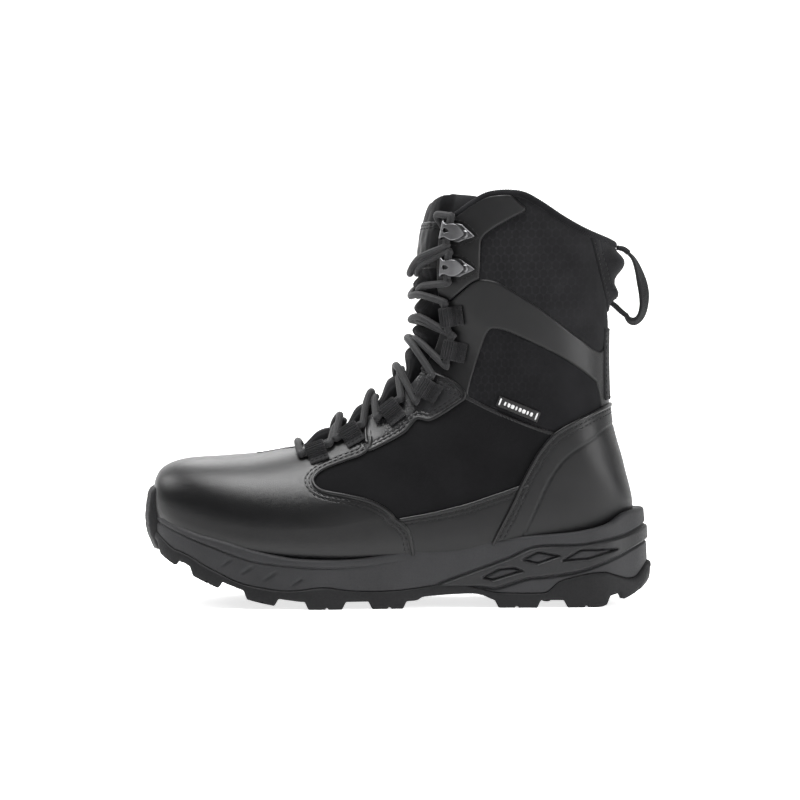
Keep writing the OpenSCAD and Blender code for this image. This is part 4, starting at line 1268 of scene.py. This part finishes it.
def build_hooks():
    """Two metal speed hooks on each side."""
    verts, faces = hook_sheet(hook_centre_line())
    for tag, side in SIDES:
        pile = Pile()
        for u, a in HOOKS:
            seat = Seat(u, a, side)
            pile.add(seat.place(verts), seat.faces(faces))
            hook_outline_stitches(seat)
        pile.object("speed_hooks_" + tag, HOOK_METAL, slot="hook_metal", replaces=("lace_hooks_" + tag,))
    give_material("hook_rivets", HOOK_METAL)


def hook_outline_stitches(seat):
    """Dashed stitching on the leather round a hook's pointed base."""
    half = [[-1, 7.4], [5, 7.4], [10.5, 5.2], [15.5, 2.2]]
    local = resample(curve(half + [[18, 0]] + [[x, -y] for x, y in half[::-1]], 4), 0.6)
    world = seat.place(np.column_stack([local, np.zeros(len(local))]))
    start = [np.full(len(world), float(v)) for v in (seat.u, seat.a)]
    u, a = find(world[:, 0], world[:, 2], seat.side, start)
    add_stitches(np.column_stack([u, a]), 0.55)


def give_material(node, mat):
    """Gives a CAD node that keeps its shape a better material."""
    obj = bpy.data.objects[node]
    for place in obj.material_slots:
        place.material = mat


# ------------------------------------------------------------------ pull loop and label

# Side-view lines of the pull loop's outer and inner face
PULL_OUTER = [[141.5, 215.5], [146, 210], [149.5, 201], [152, 191], [152, 181], [150, 174.5], [146, 171],
    [142, 171.5], [139.5, 174.5]]
PULL_INNER = [[141.5, 212.5], [144.4, 208], [147.5, 200], [149.8, 190.5], [149.8, 182], [148, 176],
    [145.5, 173.2], [142.5, 173.8], [140.8, 177]]
PULL_W = 10.0
LABEL_CENTRE = [72.5, 119]


PULL_TWIST = 0.62
PULL_ENDS = [
    [[134.5, 217.2, 1.2], [138.5, 216.3, 1.3], [141.8, 213.9, 1.25]],
    [[129.5, 184.5, 1.2], [133.5, 181.5, 1.3], [137, 178.2, 1.3], [140.3, 175.6, 1.2]]]


def webbing_profile(thick, across):
    """Half thickness over the width of a webbing strip: rounded edges and ribs along it."""
    return thick * soft_edge(np.abs(across), 0.14) * (1 + 0.1 * np.cos(across * PULL_W * np.pi / 1.25))


def build_pull_loop():
    """The twisted webbing loop at the heel and its two sewn ends."""
    count = 160
    lines = [curve(keys, 10) for keys in (PULL_OUTER, PULL_INNER)]
    at = np.linspace(0, 1, count)
    even = []
    for line in lines:
        line = resample(line, 0.5)
        place = np.linspace(0, 1, len(line))
        even.append(np.stack([np.interp(at, place, line[:, k]) for k in (0, 1)], 1))
    middle, out = (even[0] + even[1]) / 2, unit(even[0] - even[1])
    across = np.linspace(-1, 1, 41)
    rings = []
    for i, m in enumerate(middle):
        thick = webbing_profile(1.35 * (1 + 0.03 * math.sin(i * 2.1)), across)
        twist = PULL_TWIST * math.sin(math.pi * at[i]) ** 0.8 if 0 < i < count - 1 else 0.0
        ring = []
        for t in (thick, -thick):
            y = across * PULL_W / 2 * math.cos(twist) - t * math.sin(twist)
            rise = across * PULL_W / 2 * math.sin(twist) + t * math.cos(twist)
            ring.append(np.column_stack([m[0] + rise * out[i, 0], y, m[1] + rise * out[i, 1]]))
        rings.append(np.vstack([ring[0], ring[1][::-1]]))
    new_object("pull_loop_webbing", np.vstack(rings), ring_faces(count, 2 * len(across)), WEBBING,
               body="pull_loop", slot="webbing", replaces=("pull_loop",))
    # ends of the webbing, sewn into the boot above and below
    pile = Pile()
    for keys in PULL_ENDS:
        line = curve(keys, 8)
        tangent = unit(np.gradient(line[:, :2], axis=0))
        out = np.stack([-tangent[:, 1], tangent[:, 0]], 1)
        thick = [webbing_profile(q[2], across) for q in line]
        verts = strip_verts(line, out, thick, across * (PULL_W / 2 - 0.2))
        pile.add(verts, ring_faces(len(line), 2 * len(across)))
    pile.object("pull_loop_ends", WEBBING, slot="webbing", replaces=("pull_loop_anchors",))


def build_label():
    """Small sewn tab on the outer side with plain bars and drops in place of words."""
    tilt = math.radians(-22)
    turn = np.array([[math.cos(tilt), math.sin(tilt)], [-math.sin(tilt), math.cos(tilt)]])
    half_w, half_h = 13.5, 3.25

    def on_side(local, out):
        q = np.asarray(local, float) @ turn + LABEL_CENTRE
        u, a = find(q[:, 0], q[:, 1], 1)
        return outside(u, a, out)

    tri, local = grid(np.linspace(-half_w, half_w, 55), np.linspace(-half_h, half_h, 17))
    d = np.minimum(half_w - np.abs(local[:, 0]), half_h - np.abs(local[:, 1]))
    new_object("label_tab", on_side(local, -1.2 + 2.5 * rounded(d / 0.6)), tri[:, ::-1], LABEL_BLACK,
               slot="label_plastic", replaces=("side_label",))
    pile = Pile()
    marks = [(-11.6, 0.9, 4.4), (11.6, 0.9, 4.4)]
    marks += [(x, 1.1 + 0.5 * (k % 3), 2.4) for k, x in enumerate(np.linspace(-8.4, 8.4, 8))]
    t = np.linspace(0, 2 * np.pi, 14, endpoint=False)
    square_x, square_y = signed_power(np.cos(t), 0.6), signed_power(np.sin(t), 0.6)
    for x, w, h in marks:
        ring = np.stack([x + w / 2 * square_x, h / 2 * square_y], 1)
        pile.add(np.vstack([on_side(ring, out) for out in (1.2, 1.42)]), ring_faces(2, 14))
    pile.object("label_marks", LABEL_WHITE, slot="label_plastic")


def build_inside():
    """Materials of the CAD nodes inside the boot, and a softened footbed."""
    for node, mat in (("shank", STEEL), ("steel_toe_cap", STEEL), ("toe_cap_gasket", OUTSOLE_RUBBER),
                      ("insole_board", BOARD), ("heel_stiffener", BOARD)):
        give_material(node, mat)
    source = bpy.data.objects["footbed"]
    bed = source.copy()
    bed.data = source.data.copy()
    bed.name = "footbed_cushion"
    bpy.context.scene.collection.objects.link(bed)
    bed.parent = None
    bed.matrix_world = source.matrix_world.copy()
    bed.hide_render = False
    modifier = bed.modifiers.new("remesh", "REMESH")
    modifier.mode, modifier.voxel_size = "VOXEL", 1.6 * MM
    smooth = bed.modifiers.new("smooth", "SMOOTH")
    smooth.iterations, smooth.factor = 6, 0.5
    evaluated = bed.evaluated_get(bpy.context.evaluated_depsgraph_get())
    mesh = bpy.data.meshes.new_from_object(evaluated)
    bed.modifiers.clear()
    bed.data = mesh
    mesh.materials.clear()
    mesh.materials.append(FOAM)
    mesh.polygons.foreach_set("use_smooth", [True] * len(mesh.polygons))
    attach(bed, "footbed")
    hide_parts("footbed")


build_tongue()
build_lace()
build_loops()
build_hooks()
build_pull_loop()
build_label()
build_inside()

# ------------------------------------------------------------------ sole

# The sole's outline on the ground (x, y), then side-view lines (x, z): where the outsole meets the
# midsole, the tread's underside, the groove under the lip, and the heel frame's edges and windows
SOLE_PLAN = [[-155.5, 12], [-153.5, -5], [-146, -22], [-132, -36], [-112, -46.5], [-85, -53], [-60, -55.5],
    [-35, -54], [-5, -49], [30, -44], [60, -42], [90, -42], [120, -39], [137, -32], [149.5, -19], [155.5, 0],
    [149, 18], [137, 31], [120, 38], [90, 40.5], [60, 39], [30, 38.5], [0, 40], [-30, 46], [-60, 52.5],
    [-90, 55.3], [-120, 51], [-140, 42], [-151.5, 27], [-155.5, 12]]
SOLE_SPLIT = [[-170, 60], [-151.3, 45], [-139, 35.5], [-133.5, 33.5], [-125, 30], [-118, 26], [-106, 20.5],
    [-97, 16.5], [-87.5, 14], [-71.5, 11.5], [-60, 11.5], [-48, 13], [-41, 13], [-25.5, 11], [0, 11],
    [28, 14.5], [38, 14.5], [45, 13], [56.5, 10], [66, 9], [87, 9], [92, 11], [98.5, 16],
    [114, 20], [125.5, 21], [130, 20], [140, 17], [146.5, 18], [154, 25], [170, 36]]
GROUND_LINE = [[-158, 44], [-147, 32], [-134, 24], [-118, 16.5], [-103, 10.5], [-90, 6], [-77, 3], [-64, 1],
    [-52, 0], [-20, 0], [9, 0], [17, 2.5], [42, 4], [51, 3], [57, 0.5], [62, 0], [90, 0], [119, 0],
    [127, 1.8], [137, 4.5], [145, 8], [152, 13], [160, 22]]
LIP_LINE = [[-170, 58], [-150, 50], [-131, 42.4], [-113, 36.3], [-90, 28.8], [-71, 26], [-45, 24.3],
    [-22, 25.3], [2, 28.8], [30, 33]]
FRAME_TOP = [[24, 13.5], [30, 16], [44, 21], [66, 29], [83, 36], [110, 37], [132, 41], [143, 44.5], [170, 56]]
FRAME_BOTTOM = [[24, 13], [51, 12.6], [59, 12], [77, 17.5], [88, 18.7], [110, 22], [132, 30], [143, 35],
    [170, 46]]
FRAME_OUTLINE = np.vstack([curve(FRAME_TOP), curve(FRAME_BOTTOM)[::-1]])
FRAME_WINDOWS = [
    [[51, 18], [57, 16.5], [75, 22], [70, 24], [60.5, 23]],
    [[75, 28.6], [84, 26.4], [97, 31], [84, 33.5]],
    [[99, 28], [115, 29], [132, 34.5], [110, 34.5]]]
# Where the side lugs start and end along the sole
FRONT_LUGS = [(-149, -130), (-126.5, -103), (-92.5, -69), (-55.5, -28.5), (-17.5, 8)]
HEEL_LUGS = [(56, 87), (97.5, 129.5), (131.5, 160)]
LUG_DEPTH = 4.6
# Middle of every small block along the tread, and of every slanted nick in the midsole
BLOCKS = [-136, -109, -84, -64, -43, -23, -5, 74, 92, 111, 128]
MIDSOLE_NICKS = [(-103.5, 27.4), (-90.6, 23.3), (-76.3, 20), (-60, 16.5)]
# How far the sole draws in with height, along and across
LEAN = np.array([0.035, 0.08]) / 80


def line_z(line, x):
    """Height of a smooth side-view line at x."""
    c = curve(line)
    order = np.argsort(c[:, 0])
    return np.interp(x, c[order, 0], c[order, 1])


plan_line = resample(curve(SOLE_PLAN, 12), 1.0)[:-1]
plan_out = unit(np.roll(plan_line, -1, 0) - np.roll(plan_line, 1, 0))
plan_out = np.stack([plan_out[:, 1], -plan_out[:, 0]], 1)
if (plan_out * (plan_line - plan_line.mean(0))).sum() < 0:
    plan_out = -plan_out


def wall(index, z, out):
    """Point of the midsole's wall: place round the sole, height, and distance outside the wall."""
    i = np.asarray(index, float) % len(plan_line)
    lo, f = np.floor(i).astype(int), (i - np.floor(i))[..., None]
    hi = (lo + 1) % len(plan_line)
    p = plan_line[lo] * (1 - f) + plan_line[hi] * f
    n = unit(plan_out[lo] * (1 - f) + plan_out[hi] * f)
    q = p + n * (np.asarray(out, float) - 0.5)[..., None]
    return leaned(q, np.asarray(z, float))


def leaned(xy, z):
    """Plan points drawn in a little with height."""
    return np.concatenate([xy * (1 - z[..., None] * LEAN), z[..., None]], -1)


def build_midsole():
    """The midsole's wall: lip, grooves, nicks and the sunk windows of the heel frame."""
    n = len(plan_line)
    i = np.arange(n)
    x = plan_line[:, 0]
    top, low = line_z(MIDSOLE_TOP, x), line_z(SOLE_SPLIT, x)
    groove = line_z(LIP_LINE, x)
    fade = 1 - ramp(x, -50, 12)
    # how far below the top edge, and distance outside the wall
    lip = ((1.5, -9), (0.3, -4), (0, -2.2), (0.35, -0.9), (1.1, -0.2))
    rings = [wall(i, top - drop, out) for drop, out in lip]
    steps = 84
    for k in range(steps + 1):
        z = top - 1.9 + (low + 0.4 - top + 1.9) * k / steps
        out = 0.25 * np.sin(np.pi * k / steps)
        out = out - fade * bell(z - groove, 0.8) + 0.35 * fade * ramp(z, groove, groove + 2.5)
        for cx, cz in MIDSOLE_NICKS:
            along_nick, over_nick = (x - cx) * 0.82 + (z - cz) * 0.57, (z - cz) * 0.82 - (x - cx) * 0.57
            out = out - 1.1 * np.exp(-((along_nick / 4.0) ** 4) - ((over_nick / 0.9) ** 2))
        side = wall(i, z, 0)[:, [0, 2]]
        for window in FRAME_WINDOWS:
            inside = signed_distance(np.array(window, float), side)[0]
            out = out - (0.7 * ramp(inside, -0.6, 0.6) + 2.2 * bell(inside, 0.6)) * (side[:, 0] > 40)
        rim = signed_distance(FRAME_OUTLINE, side)[0]
        out = out - 2.0 * bell(rim + 0.6, 0.55) * (side[:, 0] > 22)
        rings.append(wall(i, z, out))
    rings += [wall(i, low - 0.1, -0.5), wall(i, low + 0.6, -6)]
    new_object("midsole_wall", np.vstack(rings), strip_faces(len(rings), n), MIDSOLE_RUBBER,
               slot="midsole_rubber", replaces=("midsole",))


def build_heel_frame():
    """Moulded plastic frame that wraps round the heel, with three windows on each side."""
    behind = np.where(plan_line[:, 0] > 18)[0]
    tri, rows = grid(np.arange(behind[0], behind[-1] + 0.01, 0.7), np.arange(10, 52.1, 0.7))
    p = wall(rows[:, 0], rows[:, 1], 0)
    k = np.searchsorted(np.arange(len(plan_line)), rows[:, 0]) % len(plan_line)
    side = np.sqrt(np.maximum(1 - plan_out[k, 0] ** 2, 0.16))
    fields = [signed_distance(FRAME_OUTLINE, p[:, [0, 2]])[0]]
    fields += [-signed_distance(np.array(w, float), p[:, [0, 2]])[0] / side for w in FRAME_WINDOWS]
    rows = np.hstack([rows, np.stack(fields, 1)])
    tri, rows = compact(*trimmed(tri, rows, len(fields), (0.15, 0.5, 1.0, 1.6)))
    out = -1.2 + 2.6 * rounded(rows[:, 2:].min(1) / 1.5)
    new_object("heel_frame_shell", wall(rows[:, 0], rows[:, 1], out), tri, FRAME_PLASTIC,
               slot="frame_plastic", replaces=("heel_frame",))


def lug_fields(p):
    """For every lug, how far each plan point lies inside it."""
    result = []
    for lugs, slant in ((FRONT_LUGS, 5), (HEEL_LUGS, -3)):
        for k, (a, b) in enumerate(lugs):
            for side in (-1, 1):
                skew = slant * side
                inner = 9.0 if k % 2 == 0 else 12.0
                tip = [(a + b) / 2 + skew, side * (inner - 4)]
                outline = [[a, side * 90], [b, side * 90], [b - 3 + skew * 0.4, side * inner], tip,
                           [a + 3 + skew * 0.4, side * inner]]
                result.append(signed_distance(np.array(outline), p)[0])
    for c in BLOCKS:
        w, h = (7, 5.5) if c < 40 else (6, 5)
        shape = [[c - w, 0], [c - 2, h], [c + w, h * 0.6], [c + w - 3, 0], [c + w, -h * 0.6], [c - 2, -h]]
        result.append(signed_distance(np.array(shape), p)[0])
    return result


def build_outsole():
    """Tread with lugs and blocks, and the upright edge that joins it to the midsole."""
    tri, rows = grid(np.arange(-158, 158.1, 1.6), np.arange(-58, 58.1, 1.6))
    plan = signed_distance(plan_line, rows)[0]
    lug = np.max(lug_fields(rows), 0)
    rows = np.hstack([rows, lug[:, None], plan[:, None]])
    tri, rows = trimmed(tri, rows, 1, ())
    for level in (-0.1, 0.5, 1.2, 1.9, 2.6):
        tri, rows, _ = cut_at(tri, rows, rows[:, 2], level, 0.05)
    tri, rows = compact(tri, rows)

    def low(r):
        base = line_z(GROUND_LINE, r[:, 0])
        between_lugs = LUG_DEPTH * (1 - ramp(r[:, 2], -0.6, 2.6))
        return np.clip(base + between_lugs, 0, line_z(SOLE_SPLIT, r[:, 0]) - 0.5)

    new_object("outsole_tread", leaned(rows[:, :2], low(rows)), tri[:, ::-1], OUTSOLE_RUBBER,
               slot="outsole_rubber", replaces=("outsole",))
    # the outsole's upright edge, from the tread's rim to the midsole
    rim = resample(np.vstack([plan_line, plan_line[:1]]), 0.5)
    near = np.argmin(((rim[:, None] - plan_line[None]) ** 2).sum(-1), 1)
    out = plan_out[near]
    rim = np.column_stack([rim, np.max(lug_fields(rim), 0)])
    bottom, top = low(rim), line_z(SOLE_SPLIT, rim[:, 0])
    # a small half-round nick in the bottom edge of every side lug
    for a, b in FRONT_LUGS + HEEL_LUGS:
        bottom = bottom + 1.1 * rounded(1 - np.abs(rim[:, 0] - (a + b) / 2) / 1.1)
    out = out * (1 + 4 * ramp(rim[:, :1], 128, 150) * (rim[:, :1] > 0))
    # share of the edge's height, and distance outside the plan line
    section = [(0, -1.5), (0, 0.0), (0.06, 0.22), (0.3, 0.35), (0.6, 0.35), (0.85, 0.25), (1, 0.0), (1, -5.5)]
    rings = [leaned(rim[:, :2] + out * o, bottom + (top - 0.35 - bottom) * f) for f, o in section]
    m = len(rim)
    faces = [[a, a + 1, a + m + 1, a + m] for r in range(len(rings) - 1) for a in range(r * m, r * m + m - 1)]
    new_object("outsole_edge", np.vstack(rings), faces, OUTSOLE_RUBBER, slot="outsole_rubber")


def build_bumper():
    """Rubber toe bumper that climbs from the outsole over the toe."""
    rows, cols = 30, 44
    y = np.linspace(-14.5, 33, cols)
    z = np.linspace(33, 72, rows)
    side = plan_line[plan_line[:, 0] < -125]
    order = np.argsort(side[:, 1])
    yy, zz = np.meshgrid(y, z)
    front = np.interp(yy, side[order, 1], side[order, 0])
    lean = np.interp(zz, [33, 37, 42, 48, 54, 62, 67, 70, 72], [5.2, 3.4, 1.3, 0, -0.1, 0.7, 1.6, 3.2, 7])
    edge = np.minimum(yy - y[0], y[-1] - yy)
    ribs = 0.35 * bell((zz - 46) % 7 - 3.5, 0.7) * (zz > 44) * (zz < 66)
    xx = front - 0.6 + lean + 4.5 * (1 - rounded(edge / 3.2)) + ribs
    bow = 1 - 0.06 * ramp(zz, 50, 72)
    verts = np.stack([xx, 9.5 + (yy - 9.5) * bow, zz], -1).reshape(-1, 3)
    back = verts + np.array([9.0, 0, 0])
    index = np.arange(rows * cols).reshape(rows, cols)
    quads = [index[:-1, :-1], index[1:, :-1], index[1:, 1:], index[:-1, 1:]]
    faces = np.stack(quads, -1).reshape(-1, 4).tolist()
    rim = [*index[0], *index[1:, -1], *index[-1, -2::-1], *index[-2:0:-1, 0]]
    for a, b in zip(rim, rim[1:] + rim[:1]):
        faces.append([a, b, index.size + b, index.size + a])
    new_object("toe_bumper", np.vstack([verts, back]), faces, OUTSOLE_RUBBER, slot="outsole_rubber")


build_midsole()
build_heel_frame()
build_outsole()
build_bumper()

# ------------------------------------------------------------------ camera, light, floor


FLOOR_WHITE = (0.9, 0.9, 0.9)
FLOOR_GLOW = 0.74
WORLD_LIGHT = 0.07


def build_stage():
    """A pale floor that curves up into a wall behind the boot."""
    size, bend_y, bend_r, wall_top = 3.0, 0.9, 0.6, 2.6
    profile = [(-size, 0.0), (bend_y, 0.0)]
    for turn in np.linspace(0, math.pi / 2, 13)[1:]:
        profile.append((bend_y + bend_r * math.sin(turn), bend_r * (1 - math.cos(turn))))
    profile.append((bend_y + bend_r, wall_top))
    verts = [(x, y, z) for y, z in profile for x in (-size, size)]
    faces = [(a, a + 1, a + 3, a + 2) for a in range(0, 2 * len(profile) - 2, 2)]
    mesh = bpy.data.meshes.new("floor")
    mesh.from_pydata(verts, [], faces)
    mesh.polygons.foreach_set("use_smooth", [True] * len(mesh.polygons))
    floor = bpy.data.objects.new("floor", mesh)
    bpy.context.scene.collection.objects.link(floor)
    mat = material("studio_floor", FLOOR_WHITE, 0.9, specular=0.1)
    n = Nodes(mat)
    n.bsdf.inputs["Emission Color"].default_value = (1, 1, 1, 1)
    n.bsdf.inputs["Emission Strength"].default_value = FLOOR_GLOW
    n.color(n.noise(3, 2), 0.0, 1.0, FLOOR_WHITE, 0.98, 1.01)
    mesh.materials.append(mat)


def area_light(name, place, target, size, power, tall=None):
    """A soft box at a place, turned to its target; size and tall in metres, power in watts."""
    data = bpy.data.lights.new(name, "AREA")
    data.shape = "RECTANGLE"
    data.size, data.size_y = size, tall or size
    data.energy = power
    lamp = bpy.data.objects.new(name, data)
    lamp.location = place
    direction = np.array(target) - np.array(place)
    lamp.rotation_euler = Vector(direction).to_track_quat("-Z", "Y").to_euler()
    bpy.context.scene.collection.objects.link(lamp)


def build_light():
    world = bpy.data.worlds.new("studio")
    bpy.context.scene.world = world
    world.use_nodes = True
    background = world.node_tree.nodes["Background"]
    background.inputs["Color"].default_value = (1, 1, 1, 1)
    background.inputs["Strength"].default_value = WORLD_LIGHT
    area_light("top_box", (-0.2, -0.14, 1.0), (-0.08, -0.02, 0.1), 0.62, 14, 0.34)
    area_light("back_box", (-0.15, 0.8, 0.85), (-0.05, 0, 0.1), 0.6, 4, 0.4)
    area_light("left_box", (-0.95, 0.25, 0.75), (-0.1, 0, 0.08), 0.35, 4)
    area_light("right_strip", (1.0, -0.42, 0.36), (0.1, 0, 0.14), 0.2, 8, 0.6)
    area_light("front_fill", (0.4, -1.5, 0.6), (0, 0, 0.12), 1.0, 3.5)


def build_camera():
    """A long lens looks straight at the boot's outer side, a little from above."""
    data = bpy.data.cameras.new("photo_camera")
    data.lens, data.sensor_width = 120, 36
    picture_width = 0.4912
    distance = picture_width * data.lens / data.sensor_width
    tilt = math.radians(1.2)
    target = (0.0015, 0.0, 0.1237)
    cam = bpy.data.objects.new("photo_camera", data)
    cam.location = (target[0], -distance * math.cos(tilt), target[2] + distance * math.sin(tilt))
    cam.rotation_euler = (math.pi / 2 - tilt, 0, 0)
    data.clip_start, data.clip_end = 0.1, 20
    bpy.context.scene.collection.objects.link(cam)
    bpy.context.scene.camera = cam
    bpy.context.scene.view_settings.view_transform = "Standard"


build_stage()
build_light()
build_camera()
stitch_pile.object("seam_stitches", THREAD, slot="leather")
edge_pile.object("counter_edge_roll", LEATHER, slot="leather")
